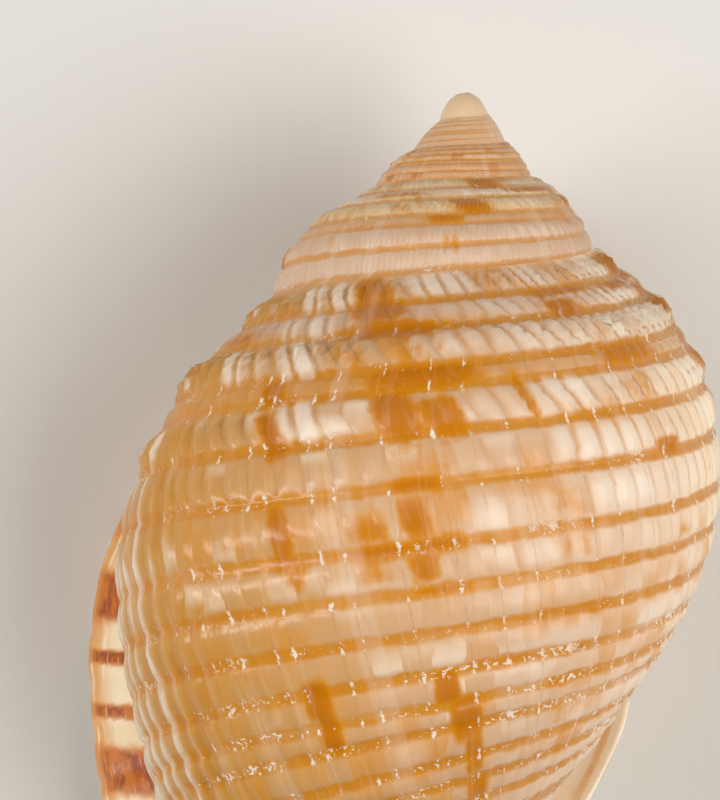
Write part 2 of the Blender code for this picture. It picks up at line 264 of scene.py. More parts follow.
def crown(turns, cords, upper_only):
    """Shape of the cords from 0 to 1, flat-topped or rounded like beads, and their height in mm."""
    distance, share = groove_distance(cords, upper_only)
    flat_top = 1 - np.exp(-(distance / GROOVE_WIDTH) ** 2)
    rounding = np.sin(np.pi * share) ** 0.7
    beaded = np.interp(cords, BEADED_CORDS, BEADED)
    shape = flat_top * (1 - beaded) + rounding * beaded
    height = np.interp(cords, CROWN_CORDS, CROWN_HEIGHTS)
    return shape, height * (1 + 0.2 * wander(turns * 40 + cords, 11))


print(len(GROOVES), "grooves")

# %% Ribs across the cords
RIBS_PER_TURN = 84
# how many turns a rib leans back, and how high it is in mm, read at cord places
RIB_LEAN_CORDS, RIB_LEAN = (0.0, 3.0, 5.0, 9.0, 14.0, 20.0), (0.0, 0.019, 0.029, 0.054, 0.068, 0.074)
RIB_CORDS = (0, 1.5, 2.9, 5.8, 6.5, 8.5, 9.2, 10.9, 12, 13, 14.3, 16, 18, 22, 28, 36)
RIB_HEIGHTS = (0.0, 0.7, 0.4, 0.34, 0.8, 0.75, 0.2, 0.2, 0.6, 0.6, 0.24, 0.34, 0.18, 0.14, 0.08, 0.06)
RIGHT_SIDE_RIBS = 0.14              # how much higher they are below the shoulder on the right side
SPIRE_RIBS = 0.35                   # their share of the height on the spire
WORN_BACK, WORN_WIDTH, WORN_SHARE = 4.27, 0.06, 0.45


def rib_phase(turns, cords):
    """Whole numbers on the crest of each rib.

    The ribs lean back across the shoulder and widen past the back."""
    turns = turns + np.interp(cords, RIB_LEAN_CORDS, RIB_LEAN)
    even = RIBS_PER_TURN * turns - 0.25 * RIBS_PER_TURN * np.maximum(turns - 4.22, 0.0)
    return even + 1.1 * wander(turns * 11, 12) + 0.15 * wander(cords * 0.7 + turns * 30, 13)


def rib_height(turns, cords):
    """Height of the ribs in mm: lower on the spire, and worn down on the middle of the back."""
    height = np.interp(cords, RIB_CORDS, RIB_HEIGHTS)
    below_shoulder = ease(cords, 12, 16) * (1 - ease(cords, 34, 44))
    height = height + RIGHT_SIDE_RIBS * below_shoulder * (1 - ease(turns, 4.1, 4.2))
    height = height * (0.8 + 0.3 * patches(turns * 26, cords * 0.4, 14))
    worn = 1 - WORN_SHARE * np.exp(-((turns - WORN_BACK) / WORN_WIDTH) ** 2)
    return height * (SPIRE_RIBS + (1 - SPIRE_RIBS) * ease(turns, 3.5, 3.9)) * worn


on_shoulder = float(rib_height(np.array([[4.2]]), np.array([[7.5]]))[0, 0])
print(RIBS_PER_TURN, "ribs in a turn, on the shoulder", round(on_shoulder, 2), "mm high")

# %% Folds beside the lip, and an old mended break
FOLDS_PER_TURN = 60
FOLD_HEIGHT, FOLD_HEIGHT_AT_LIP = 0.06, 0.15
BREAK_CORDS = (31.4, 32.8, 33.4, 34.4, 36.2, 37.7, 39.4, 41.0)
BREAK_TURNS = (4.2975, 4.295, 4.2825, 4.280, 4.280, 4.2825, 4.2725, 4.2825)
BREAK_HEIGHT, BREAK_WIDTH = 0.14, 0.0024


def growth_fold(turns):
    """The soft folds where the growing edge paused: about -1 in a trough, 1 on a crest."""
    even = np.cos(math.tau * (FOLDS_PER_TURN * turns + 0.5 * wander(turns * 22, 15)))
    return 0.7 * even + 0.5 * wander(turns * FOLDS_PER_TURN * 1.9, 16)


def fold_height(turns, cords):
    """Height of the folds in mm: faint all over the last whorl, strong beside the lip."""
    near_lip = ease(turns, 4.41, 4.47) * ease(cords, 8, 16)
    height = FOLD_HEIGHT * ease(cords, 8, 20) + FOLD_HEIGHT_AT_LIP * near_lip
    return height * ease(turns, 3.2, 3.8)


def mended_break(turns, cords):
    """The low ridge where the edge once broke and was mended."""
    line = np.interp(cords, BREAK_CORDS, BREAK_TURNS)
    return np.exp(-((turns - line) / BREAK_WIDTH) ** 2) * ease(cords, 31.4, 33) * (1 - ease(cords, 41, 43))


print("folds:", FOLDS_PER_TURN, "in a turn,", FOLD_HEIGHT_AT_LIP, "mm high beside the lip")

# %% Height of the surface over the smooth wall
# how big the shell was at each turn, over its size at turn 4.0
SIZE_TURNS = (0.0, 1.0, 2.0, 3.0, 3.5, 4.0, 4.5)
SIZES = (0.1, 0.16, 0.26, 0.5, 0.72, 1.0, 1.2)


def relief(turns, cords, upper_only):
    """Height in mm over the smooth wall, at turns (a column) by cords (a row)."""
    cords = cords[None, :]
    shape, height = crown(turns, cords, upper_only)
    rib = 0.5 * np.cos(math.tau * rib_phase(turns, cords))
    lip_side = 1 - 0.5 * ease(turns, 4.5, 4.6)
    height = shape * height + rib * rib_height(turns, cords) * shape * lip_side
    height = height * ease(turns, 1.3, 2.2) + growth_fold(turns) * fold_height(turns, cords)
    height = height + BREAK_HEIGHT * mended_break(turns, cords)
    return height * np.interp(turns, SIZE_TURNS, SIZES)


sample = relief(np.array([[4.2]]), np.array([7.5]), False)
print("relief on the third cord at turn 4.2:", round(float(sample[0, 0]), 2), "mm")

# %% [markdown]
# ## Colour marks on the coil
# The orange-brown marks sit in rows on the cords, one below another, because the snail's colour glands
# switch on and off as it grows.  A texture of random spots would lose that order.  So the marks that matter
# on the back, and the palest patches, are short lists in coil coordinates, and the rest of the shell
# repeats the habit of the marks by a seeded rule.  The results are stored on the mesh as soft masks that
# the material sharpens and roughens later.

# %% Brown marks listed for the back
# (growth turn, cord place, half width in turns, half width across the cords, strength)
MARKS = (
    (4.3275, 1.5, 0.017, 1.6, 0.9), (4.314, 3.7, 0.024, 1.2, 1.0), (4.298, 5.8, 0.038, 0.8, 0.95),
    (4.323, 7.5, 0.012, 1.8, 0.5), (4.285, 7.6, 0.012, 1.9, 0.5), (4.262, 7.4, 0.008, 1.6, 0.35),
    (4.272, 10.0, 0.036, 1.0, 0.95), (4.286, 12.8, 0.013, 2.0, 0.95), (4.260, 13.2, 0.013, 1.6, 0.85),
    (4.277, 16.4, 0.020, 1.5, 0.42), (4.365, 10.1, 0.009, 1.1, 1.0), (4.3575, 13.4, 0.008, 1.9, 1.0),
    (4.374, 1.6, 0.012, 1.3, 0.4), (4.440, 4.9, 0.024, 1.0, 0.7), (4.414, 1.8, 0.012, 1.4, 0.35),
    (4.2225, 1.0, 0.028, 1.5, 0.5), (4.160, 3.3, 0.036, 0.6, 0.85), (4.1675, 5.0, 0.016, 1.0, 0.95),
    (4.154, 7.0, 0.013, 1.6, 0.38), (4.130, 9.8, 0.030, 1.0, 0.8), (4.2125, 12.0, 0.0035, 2.2, 0.75),
    (4.1325, 12.6, 0.017, 1.7, 0.38), (4.1225, 17.5, 0.012, 0.8, 0.8), (4.090, 3.6, 0.036, 0.7, 0.8),
    (4.038, 2.2, 0.032, 1.9, 0.8), (4.030, 6.2, 0.026, 2.2, 0.8), (4.024, 11.0, 0.022, 2.3, 0.85),
    (4.018, 15.4, 0.016, 2.0, 0.6), (4.355, 20.1, 0.0062, 1.9, 1.0), (4.353, 22.1, 0.014, 0.5, 0.8),
    (4.351, 23.3, 0.005, 0.8, 0.7), (4.309, 20.5, 0.011, 1.2, 0.72), (4.2845, 20.1, 0.008, 1.5, 0.95),
    (4.306, 22.05, 0.018, 0.55, 0.95), (4.276, 22.0, 0.018, 0.55, 0.9), (4.310, 23.5, 0.010, 0.9, 0.5),
    (4.284, 23.4, 0.008, 1.2, 0.85), (4.281, 17.9, 0.016, 0.5, 0.9), (4.276, 25.15, 0.018, 0.5, 0.8),
    (4.357, 31.6, 0.0085, 1.5, 1.0), (4.355, 34.2, 0.007, 1.6, 0.95), (4.284, 32.2, 0.008, 1.4, 0.95),
    (4.274, 34.9, 0.010, 1.9, 0.95), (4.271, 38.0, 0.007, 2.0, 0.8), (4.268, 41.6, 0.010, 1.8, 0.75),
    (4.2025, 20.0, 0.013, 1.3, 0.5), (4.2025, 22.9, 0.014, 1.6, 0.42), (4.188, 21.0, 0.008, 1.4, 0.3),
    (4.236, 30.9, 0.022, 0.6, 0.6), (4.215, 33.6, 0.014, 0.6, 0.55), (4.205, 36.4, 0.016, 1.2, 0.45),
    (4.195, 39.4, 0.016, 1.2, 0.5), (4.110, 27.4, 0.010, 0.9, 0.45), (4.120, 24.0, 0.010, 0.9, 0.45),
    (4.412, 20.4, 0.014, 1.6, 0.45), (4.382, 20.4, 0.009, 1.2, 0.4), (4.412, 23.6, 0.012, 1.0, 0.35),
    (3.242, 7.6, 0.024, 2.0, 0.8), (3.272, 10.0, 0.024, 0.9, 0.75), (3.215, 2.2, 0.030, 1.6, 0.85),
    (3.130, 4.2, 0.060, 0.8, 0.8), (3.100, 10.6, 0.016, 2.0, 0.5), (3.060, 7.0, 0.014, 4.0, 0.7),
    (3.262, 14.0, 0.010, 1.6, 0.5), (3.330, 7.4, 0.030, 1.0, 0.4), (3.345, 4.4, 0.050, 0.7, 0.6),
    (3.400, 12.6, 0.012, 1.4, 0.4), (3.150, 16.0, 0.020, 0.9, 0.3),
)
print(len(MARKS), "brown marks set by hand")

# %% Pale patches, listed
# (growth turn, cord place, half width in turns, half width across the cords, strength)
PALES = (
    (4.3575, 7.6, 0.015, 1.7, 1.0), (4.412, 7.5, 0.010, 1.6, 1.0), (4.392, 7.6, 0.008, 1.6, 0.6),
    (4.341, 12.5, 0.013, 1.6, 0.95), (4.384, 1.6, 0.010, 1.4, 0.9), (4.358, 1.6, 0.013, 1.4, 1.0),
    (4.383, 4.6, 0.009, 1.2, 0.7), (4.357, 4.7, 0.013, 1.2, 0.8), (4.2775, 1.3, 0.02, 1.2, 1.0),
    (4.255, 1.3, 0.012, 1.2, 0.9), (4.205, 7.4, 0.03, 1.5, 0.7), (4.235, 4.4, 0.04, 1.0, 0.5),
    (4.185, 12.4, 0.022, 1.5, 0.8), (4.172, 16.1, 0.035, 1.4, 0.9), (4.245, 20.3, 0.014, 1.4, 0.6),
    (4.160, 20.0, 0.03, 1.6, 0.8), (4.222, 23.6, 0.012, 1.2, 0.6), (4.230, 26.6, 0.014, 1.1, 0.5),
    (4.190, 1.4, 0.016, 1.2, 0.8), (4.110, 4.4, 0.012, 1.1, 0.8), (4.100, 1.4, 0.012, 1.2, 0.7),
    (4.085, 7.4, 0.014, 1.5, 0.8), (4.120, 20.0, 0.02, 1.6, 0.6), (4.100, 26.6, 0.02, 1.2, 0.7),
    (4.130, 30.0, 0.03, 1.2, 0.7), (4.330, 20.2, 0.009, 1.6, 0.5), (4.215, 29.8, 0.03, 1.0, 0.5),
    (4.310, 36.8, 0.012, 1.2, 0.5), (4.240, 33.2, 0.02, 0.9, 0.4), (4.140, 36.6, 0.03, 1.4, 0.6),
    (4.248, 7.4, 0.018, 1.4, 0.6), (4.232, 12.6, 0.014, 1.4, 0.5), (3.145, 7.4, 0.05, 1.4, 0.6),
    (3.150, 13.0, 0.06, 1.5, 0.5), (3.120, 1.6, 0.04, 1.3, 0.7), (3.320, 1.8, 0.05, 1.2, 0.5),
    (3.290, 7.2, 0.01, 1.3, 0.5), (3.355, 7.2, 0.02, 1.3, 0.4),
)
print(len(PALES), "pale patches set by hand")

# %% Spots on the coil
def spots(places, turns, cords):
    """Soft-edged spots on the coil, from a list of places, half widths and strengths."""
    mask = np.zeros(turns.shape)
    leaning = turns + np.interp(cords, RIB_LEAN_CORDS, RIB_LEAN)
    for at, cord, wide, high, strength in places:
        across = (leaning - at - np.interp(cord, RIB_LEAN_CORDS, RIB_LEAN)) / wide
        down = (cords - cord) / high
        mask = np.maximum(mask, strength * np.exp(-(across ** 4 + down ** 4) * 0.7))
    return mask


def pale_mask(turns, cords):
    """Strength of the pale patches, at growth turns (a column) by cords (a row)."""
    return spots(PALES, *np.broadcast_arrays(turns, cords))


at_first = [np.array([[value]]) for value in PALES[0][:2]]
print("strength in the middle of the first patch:", round(float(pale_mask(*at_first)[0, 0]), 2))

# %% Masks of the marks, the tone and the ribs
SET_BY_HAND = ((4.0, 4.56, 0.03), (3.02, 3.46, 0.04))   # from turn, to turn, and the width of each end
MARKS_PER_TURN = 12.0
MARK_BY_RULE = 0.85


def mark_mask(turns, cords):
    """Strength of the orange-brown marks: those of the list, and by rule where the list doesn't reach."""
    turns, cords = np.broadcast_arrays(turns, cords)
    by_hand = np.zeros(turns.shape)
    for start, end, soft in SET_BY_HAND:
        by_hand = np.maximum(by_hand, ease(turns, start, start + soft) * (1 - ease(turns, end - soft, end)))
    number = np.searchsorted(GROOVES, cords)
    column = turns * MARKS_PER_TURN + 0.35 * wander(turns * 3.0, 21)
    aside = np.abs(column - np.round(column))
    chance = patches(np.round(column) * 7.0, number * 3.0, 22)
    rule = np.exp(-(aside / 0.2) ** 4) * ease(chance, -0.1, 0.5)
    return np.maximum(spots(MARKS, turns, cords), rule * (1 - by_hand) * MARK_BY_RULE)


def tone_and_fold_light_mask(turns, cords):
    """Where the ground drifts to pale (above 0) or tan (below 0); beside the lip it follows the folds, as
    painted highlight on their crests and painted shade in their troughs.
    """
    slow = patches(turns * 13 + 5, cords * 0.22, 24)
    side = ease(turns, 4.41, 4.47)
    return 0.6 * slow * (1 - 0.8 * side) + 0.8 * growth_fold(turns) * side


def rib_offset(turns, cords):
    """What a place adds to the even count of ribs, to find the rib it lies on."""
    return rib_phase(turns, cords) - RIBS_PER_TURN * turns


at_first = [np.array([[value]]) for value in MARKS[0][:2]]
print("strength in the middle of the first mark:", round(float(mark_mask(*at_first)[0, 0]), 2))

# %% [markdown]
# ## The outer surface
# One grid of points covers the whole outside.  Each row is one position of the growing edge, each column
# one cord place, and the bottom column of a spire whorl is sewn to the top column of the next, one turn
# later.  The columns crowd together at every groove, so a few of them are enough to draw it.  The last
# whorl goes on down to the tip, and a rough face closes its open end: the mouth is cut through it later.

# %% Rows and columns of the grid
ROWS_PER_TURN = 360
ROWS = int(LIP_TURN * ROWS_PER_TURN)
TURNS = LIP_TURN - np.arange(ROWS, -1, -1) / ROWS_PER_TURN
LAST = ROWS - ROWS_PER_TURN          # the row where the last whorl starts
GROOVE_SIDE = 0.5
COLUMN_SHARES = (0.37, 0.63)


def columns(lines):
    """Cord places for the grid: on each groove, beside it, and on the crown between."""
    places = []
    for low, high in zip(lines, lines[1:]):
        side = min(GROOVE_SIDE, (high - low) * 0.25)
        places += [low, low + side] + [low + (high - low) * s for s in COLUMN_SHARES] + [high - side]
    return places + [lines[-1]]


UPPER = columns(groove_lines(True))
LOWER = columns(np.concatenate([[CORD_END], groove_lines(False)[groove_lines(False) > CORD_END]]))
CORDS = np.array(UPPER + LOWER[1:])
SEAM = len(UPPER) - 1
TIP_PLACE = (ROWS, len(CORDS) - 1)
print("grid:", ROWS + 1, "rows by", len(CORDS), "columns, sewn at column", SEAM)

# %% Places and masks of the grid's points
LAST_SHARE = ease(TURNS[:, None], LIP_TURN - 1.0, LIP_TURN - 0.9)    # 0 on the spire, 1 on the last whorl
GROOVE_LIMIT = 9.0


def outer_places():
    """Points of the grid in metres: the smooth wall, moved out by its relief."""
    turns = TURNS[:, None]
    on_spire = np.zeros((len(TURNS), len(CORDS)))
    on_spire[:, :SEAM + 1] = relief(turns, CORDS[:SEAM + 1], True)
    height = relief(turns, CORDS, False) * LAST_SHARE + on_spire * (1 - LAST_SHARE)
    grown, section = grown_wall(TURNS, CORDS)
    section += outward_of(section) * height[..., None]
    return place(grown, section[..., 0], section[..., 1])


def outer_masks():
    """Marks, distance to a groove, pale patches, tone with the painted fold light beside the lip, and rib
    offset, over the grid.
    """
    turns, cords = TURNS[:, None], CORDS[None, :]
    near_last = np.minimum(groove_distance(CORDS, False)[0], GROOVE_LIMIT)
    near_spire = groove_distance(np.clip(CORDS, 0.0, CORD_END), True)[0]
    near = near_last * LAST_SHARE + near_spire * (1 - LAST_SHARE)
    return np.stack([mark_mask(turns, cords), near, pale_mask(turns, cords), tone_and_fold_light_mask(turns, cords),
                     rib_offset(turns, cords)], axis=-1)


grid_masks = outer_masks()
print("masks of the grid:", grid_masks.shape[-1], "values at each of", grid_masks[..., 0].size, "places")

# %% Number the points
def point_numbers():
    """The number of each grid place's point (-1 where there is none), and the place that owns each number."""
    number = -np.ones((ROWS + 1, len(CORDS)), int)
    owners = [TIP_PLACE]
    for i in range(ROWS, -1, -1):
        for j in range(len(CORDS)):
            if j == len(CORDS) - 1:
                number[i, j] = 0
            elif i <= LAST and j == SEAM:
                number[i, j] = number[i + ROWS_PER_TURN, 0]
            elif i >= LAST or j < SEAM:
                number[i, j] = len(owners)
                owners.append((i, j))
    return number, np.array(owners)


numbers, owners = point_numbers()
print("points:", len(owners))

# %% Sew the grid
def zipped(first, second):
    """Triangles between two rows of grid places that start and end together."""
    a = b = 0
    while a < len(first) - 1 or b < len(second) - 1:
        behind = b == len(second) - 1 or (a + 1) / (len(first) - 1) <= (b + 1) / (len(second) - 1)
        on_first = behind and a < len(first) - 1
        yield first[a], second[b], first[a + 1] if on_first else second[b + 1]
        a, b = (a + 1, b) if on_first else (a, b + 1)


def sewn_faces(number):
    """Faces over the grid, and the coil coordinates of their corners."""
    faces, coil = [], []

    def sew(*places):
        """One face through grid places; a corner that repeats is left out."""
        corners = [number[p] for p in places]
        kept = [k for k in range(len(corners)) if corners[k] != corners[k - 1]]
        if len(kept) > 2:
            faces.append([corners[k] for k in kept])
            coil.extend((TURNS[places[k][0]], CORDS[places[k][1]]) for k in kept)

    for i in range(ROWS):
        for j in range(len(CORDS) - 1 if i >= LAST else SEAM):
            sew((i, j), (i + 1, j), (i + 1, j + 1), (i, j + 1))
    for i in range(1, ROWS_PER_TURN):
        sew((0, 0), (i, 0), (i + 1, 0))
    sew(*[(0, j) for j in range(SEAM + 1)])
    open_edge = [(ROWS, j) for j in range(len(CORDS))]
    whorl_before = [(LAST, j) for j in range(SEAM, len(CORDS))]
    for places in zipped(open_edge, whorl_before):
        sew(*places)
    return faces, np.array(coil)


outer_faces, outer_coil = sewn_faces(numbers)
print("sewn:", len(outer_faces), "faces")

# %% The outer surface as a mesh
# marks, distance to a groove in cord places, pale patches, tone (beside the lip, painted highlight and shade
# of the folds), and the ribs' run ahead of an even count
MASKS = ("mark", "groove", "pale", "tone", "rib")
BAKE_MARGIN, BAKE_WHORL_HIGH = 0.01, 0.59
BAKE_STRIPS_FROM, BAKE_STRIP_STEP, BAKE_STRIP_HIGH = 0.62, 0.055, 0.05


def bake_place(turn, cord):
    """Where a place lies on the bake map: the last whorl takes most of it, spire whorls are strips above."""
    back = np.clip(np.floor(LIP_TURN - turn + 1e-9), 0, 4)
    u = BAKE_MARGIN + (1 - 2 * BAKE_MARGIN) * (turn - (LIP_TURN - 1 - back))
    strip = BAKE_STRIPS_FROM + BAKE_STRIP_STEP * (back - 1)
    on_whorl = BAKE_MARGIN + BAKE_WHORL_HIGH * cord / TIP
    v = np.where(back < 1, on_whorl, strip + BAKE_STRIP_HIGH * cord / CORD_END)
    return np.stack([u, v], axis=1)


def new_mesh(name, points, faces, coil, bake, masks=None):
    """A mesh with its coil coordinates, its bake map and its masks (one column each), facing outwards."""
    mesh = bpy.data.meshes.new(name)
    mesh.from_pydata([tuple(p) for p in points], [], [tuple(int(k) for k in f) for f in faces])
    mesh.uv_layers.new(name="Coil")
    mesh.uv_layers.new(name="OFBake")
    mesh.uv_layers["Coil"].data.foreach_set("uv", np.ascontiguousarray(coil, np.float32).ravel())
    mesh.uv_layers["OFBake"].data.foreach_set("uv", np.ascontiguousarray(bake, np.float32).ravel())
    for k, title in enumerate(MASKS):
        values = mesh.attributes.new(title, "FLOAT", "POINT")
        column = np.zeros(len(points)) if masks is None or k >= masks.shape[1] else masks[:, k]
        values.data.foreach_set("value", np.ascontiguousarray(column, np.float32))
    work = bmesh.new()
    work.from_mesh(mesh)
    bmesh.ops.recalc_face_normals(work, faces=work.faces)
    bmesh.ops.triangulate(work, faces=[f for f in work.faces if len(f.verts) > 4])
    work.to_mesh(mesh)
    work.free()
    return mesh


own = tuple(owners.T)
outer_bake = bake_place(outer_coil[:, 0] - 1e-6, outer_coil[:, 1])
outer = new_mesh("outer", outer_places()[own], outer_faces, outer_coil, outer_bake, grid_masks[own])
print("outer surface:", len(outer.vertices), "points and", len(outer.polygons), "faces")

# %% [markdown]
# ## Closed bodies for the hollow, lip, shield and notch
# Four more bodies meet the outer surface.  Each is a loft: a row of rings of points, closed at both ends.
# They could be sculpted on the outer mesh, but a loft keeps its own even points and its own coordinates, so
# each body can have its own finish, and exact Booleans bring them together later.

# %% A closed body through rings
def loft(name, rings, island, masks=None):
    """A closed mesh through rings of points; island is (u0, v0, u1, v1) on the bake map."""
    rings = np.array(rings)
    count, around = rings.shape[:2]
    faces, shares = [], []
    for i in range(count - 1):
        for j in range(around):
            here, ahead = i * around + j, i * around + (j + 1) % around
            faces.append([here, ahead, ahead + around, here + around])
            shares += [(i, j), (i, j + 1), (i + 1, j + 1), (i + 1, j)]
    for end in (0, count - 1):
        faces.append([end * around + j for j in range(around)])
        shares += [(end, j) for j in range(around)]
    shares = np.array(shares) / (count - 1, around)
    u0, v0, u1, v1 = island
    bake = np.array((u0, v0)) + shares * (u1 - u0, v1 - v0)
    flat = None if masks is None else np.array(masks).reshape(count * around, -1)
    return new_mesh(name, rings.reshape(-1, 3), faces, shares, bake, flat)


def shifted(curve, distance):
    """The curve moved sideways, towards the axis where distance is positive."""
    return curve - outward_of(curve) * np.reshape(distance, (-1, 1))


ring = [(math.cos(a), math.sin(a), 0.0) for a in np.arange(6) * math.tau / 6]
trial = loft("trial", [ring, [(x, y, 1.0) for x, y, _ in ring]], (0.0, 0.0, 1.0, 1.0))
print("a trial prism has", len(trial.polygons), "faces")
bpy.data.meshes.remove(trial)

# %% [markdown]
# ## The hollow
# The last whorl is a thin-walled tube that widens to the mouth, where the snail lived.  A Solidify modifier
# could thicken the wall, but it would fold over itself where the whorls touch.  So the room inside is made
# as a body of its own, a wall's thickness under the outer surface and over the whorl before, to be cut out.

# %% The hollow inside the last whorl
CAVITY_START, CAVITY_ROUND, CAVITY_RINGS = 3.75, 0.12, 90
PAST_LIP = 0.012
WALL, WALL_GLAZE, WALL_FOLLOWS = 1.4, -0.5, 0.35
UNDER_WALL = np.linspace(1.2, 52.0, 34)                  # cord places under the outer wall
OVER_WHORL = np.linspace(53.5, CORD_END + 1.2, 18)       # cord places over the whorl before


def cavity_rings():
    """Rings of the hollow, each under the outer wall and over the whorl before."""
    turns = np.concatenate([np.linspace(CAVITY_START, LIP_TURN, CAVITY_RINGS), [LIP_TURN + PAST_LIP]])
    leaning, outside = grown_wall(turns, UNDER_WALL)
    inside = wall(turns - 1.0, OVER_WHORL)
    ripple = relief(turns[:, None], UNDER_WALL, False)
    rings = []
    for i, turn in enumerate(turns):
        under_wall = shifted(outside[i], WALL - WALL_FOLLOWS * ripple[i])
        ring = np.concatenate([under_wall, shifted(inside[i], WALL_GLAZE)])
        opened = math.sqrt(min(1.0, 0.05 + (turn - CAVITY_START) / CAVITY_ROUND))
        ring = ring.mean(axis=0) + (ring - ring.mean(axis=0)) * opened
        angles = np.concatenate([leaning[i], np.full(len(OVER_WHORL), turn)])
        rings.append(place(angles, ring[:, 0], ring[:, 1]))
    return rings


cavity = loft("cavity", cavity_rings(), (0.51, 0.915, 0.99, 0.99))
print("hollow:", len(cavity.polygons), "faces")

# %% [markdown]
# ## The lip
# When the snail stopped growing it thickened the edge of its shell and turned it outwards, with a row of
# teeth inside.  A bevelled curve would give an even bead, but the lip is widest beside the mouth, thin at
# both ends and swollen at each tooth.  So each ring round the edge gets its own size, and its points move
# out at the teeth and in at the grooves.

# %% Sizes and bars of the lip
LIP_CORDS = (0.0, 6.0, 10.0, 14.0, 21.0, 32.0, 40.0, 50.0)
LIP_FLARE = (0.6, 1.6, 3.6, 5.4, 7.1, 6.7, 6.0, 2.6)
LIP_INNER, LIP_AHEAD, LIP_HALF_THICK = 2.4, 0.6, 2.0
LIP_FROM, LIP_TO = 1.0, 50.5
LIP_RINGS, LIP_AROUND, FLARE_SMOOTH = 230, 30, 25
TOOTH_GAP, TOOTH_SIZE = 2.15, 0.13          # mm from tooth to tooth, and the share they swell by
TOOTH_SIDE, TOOTH_SPREAD = 140, 42          # where on a ring the teeth stand, and how wide, in degrees
GROOVE_DENT = 0.035                         # the share that the lip shrinks by where a groove runs out
FAR_FROM_GROOVE = 9.0                       # keeps the ochre bands off the lip and the shield
# (mm below the apex, half height, strength)
BARS = ((26.5, 0.5, 0.4), (31.6, 0.5, 0.5), (36.2, 1.2, 0.6), (42.1, 2.1, 1.0), (47.1, 0.6, 0.95),
        (51.5, 0.6, 0.9), (56.3, 1.9, 1.0), (61.4, 0.7, 0.9), (65.3, 0.9, 0.9), (69.0, 0.6, 0.8))


def lip_flare(cords):
    """How far the lip turns out past the edge of the whorl, in mm."""
    flare = np.interp(cords, LIP_CORDS, LIP_FLARE)
    padded = np.pad(flare, FLARE_SMOOTH // 2, mode="edge")
    return np.convolve(padded, np.full(FLARE_SMOOTH, 1 / FLARE_SMOOTH), mode="valid")


def bar_mask(depth):
    """Strength of the reddish bars, which cross the lip at their depths."""
    bar = np.zeros(len(depth))
    for middle, high, strength in BARS:
        bar = np.maximum(bar, strength * np.exp(-((depth - middle) / high) ** 4 * 0.7))
    return bar


widest = lip_flare(np.linspace(LIP_FROM, LIP_TO, LIP_RINGS)).max()
print("lip: turned out", round(float(widest), 1), "mm at most")

# %% The lip, with its teeth
def lip_rings():
    """Rings round the edge of the whorl, swollen at teeth and dented at grooves, and their masks."""
    cords = np.linspace(LIP_FROM, LIP_TO, LIP_RINGS)
    leaning, edge = grown_wall([LIP_TURN], cords)
    leaning, edge = leaning[0], edge[0]
    out = outward_of(edge)
    run = np.concatenate([[0.0], np.cumsum(np.hypot(*np.diff(edge, axis=0).T))])
    flare = lip_flare(cords)
    around = np.arange(LIP_AROUND) * math.tau / LIP_AROUND
    taper = np.clip(np.minimum(cords - LIP_FROM + 2.0, LIP_TO + 1.0 - cords) / 6.0, 0.15, 1.0) ** 0.5
    where = run / TOOTH_GAP + 0.25 * wander(run * 0.3, 31)
    tooth = (0.5 + 0.5 * np.cos(math.tau * where)) ** 2 * ease(cords, 10, 18) * ease(-cords, -49, -45)
    tooth_side = np.exp(-((np.degrees(around) - TOOTH_SIDE) / TOOTH_SPREAD) ** 4)
    dent = GROOVE_DENT * np.exp(-(groove_distance(cords, False)[0] / 0.5) ** 2) * taper
    rings, masks = [], []
    for k in range(len(cords)):
        swell = 1 + tooth[k] * tooth_side * TOOTH_SIZE * (0.8 + 0.4 * patches(where[k], around, 32))
        swell = swell - dent[k] * (np.sin(around) < 0) + 0.02 * wander(run[k] * 0.8 + around, 33)
        aside = (flare[k] - LIP_INNER) / 2 + (flare[k] + LIP_INNER) / 2 * taper[k] * np.cos(around) * swell
        ahead = LIP_AHEAD + LIP_HALF_THICK * taper[k] * np.sin(around) * swell
        radius = edge[k, 0] + out[k, 0] * aside
        depth = edge[k, 1] + out[k, 1] * aside
        turn = leaning[k] + ahead / (math.tau * np.maximum(radius, 6.0))
        rings.append(place(turn, radius, depth))
        masks.append(np.stack([bar_mask(depth), np.full(LIP_AROUND, FAR_FROM_GROOVE)], axis=1))
    return rings, masks


rings, masks = lip_rings()
lip = loft("lip", rings, (0.01, 0.845, 0.99, 0.905), masks)
print("lip:", len(lip.polygons), "faces and", len(BARS), "bars")

# %% [markdown]
# ## The shield
# Beside the mouth the snail spread a glaze over the whorl, and it hardened into a raised shield with a free
# rim and low grains.  Copying faces from the whorl would follow it too closely: low down the shield leaves
# the whorl and bows by itself.  So two edges and a bow are given at some depths, and the upper part is drawn
# back on to the whorl.

# %% The outline of the shield
SHIELD_DEPTHS = (21.0, 30.0, 38.0, 44.0, 47.5, 51.0, 56.5, 62.0, 67.0, 71.0, 74.0)
SHIELD_LEFT_X = (-12.4, -11.0, -9.0, -7.5, -6.6, -5.8, -4.8, -4.0, -3.4, -3.0, -2.4)
SHIELD_LEFT_Z = (-9.6, -9.4, -10.0, -10.4, -10.4, -10.0, -9.0, -7.5, -6.0, -4.6, -3.2)
SHIELD_RIGHT_X = (2.0, 7.0, 11.5, 14.6, 15.6, 15.2, 12.9, 9.5, 6.0, 3.6, 1.4)
SHIELD_RIGHT_Z = (-17.0, -16.5, -15.0, -14.5, -14.2, -14.0, -13.2, -11.5, -9.2, -7.0, -4.6)
SHIELD_BOW = (0.0, 1.0, 3.2, 5.0, 5.9, 5.9, 5.0, 3.4, 2.2, 1.4, 0.8)
SHIELD_RIM, SHIELD_ROOT, SHIELD_SINK = 1.3, 7.0, 1.5
SHIELD_FREE = (23.0, 42.0)          # above it hugs the whorl, below it stands free
SHIELD_RINGS, FACE_SHARE = 96, 0.9  # the last tenth of its width is the rounded rim


def body_radius(turns, depth):
    """Radius of the last whorl at a depth from the apex, at several turns."""
    curves = wall(turns, np.linspace(CORD_END * 0.3, 55.0, 80))
    return np.array([np.interp(depth, curve[:, 1], curve[:, 0]) for curve in curves])


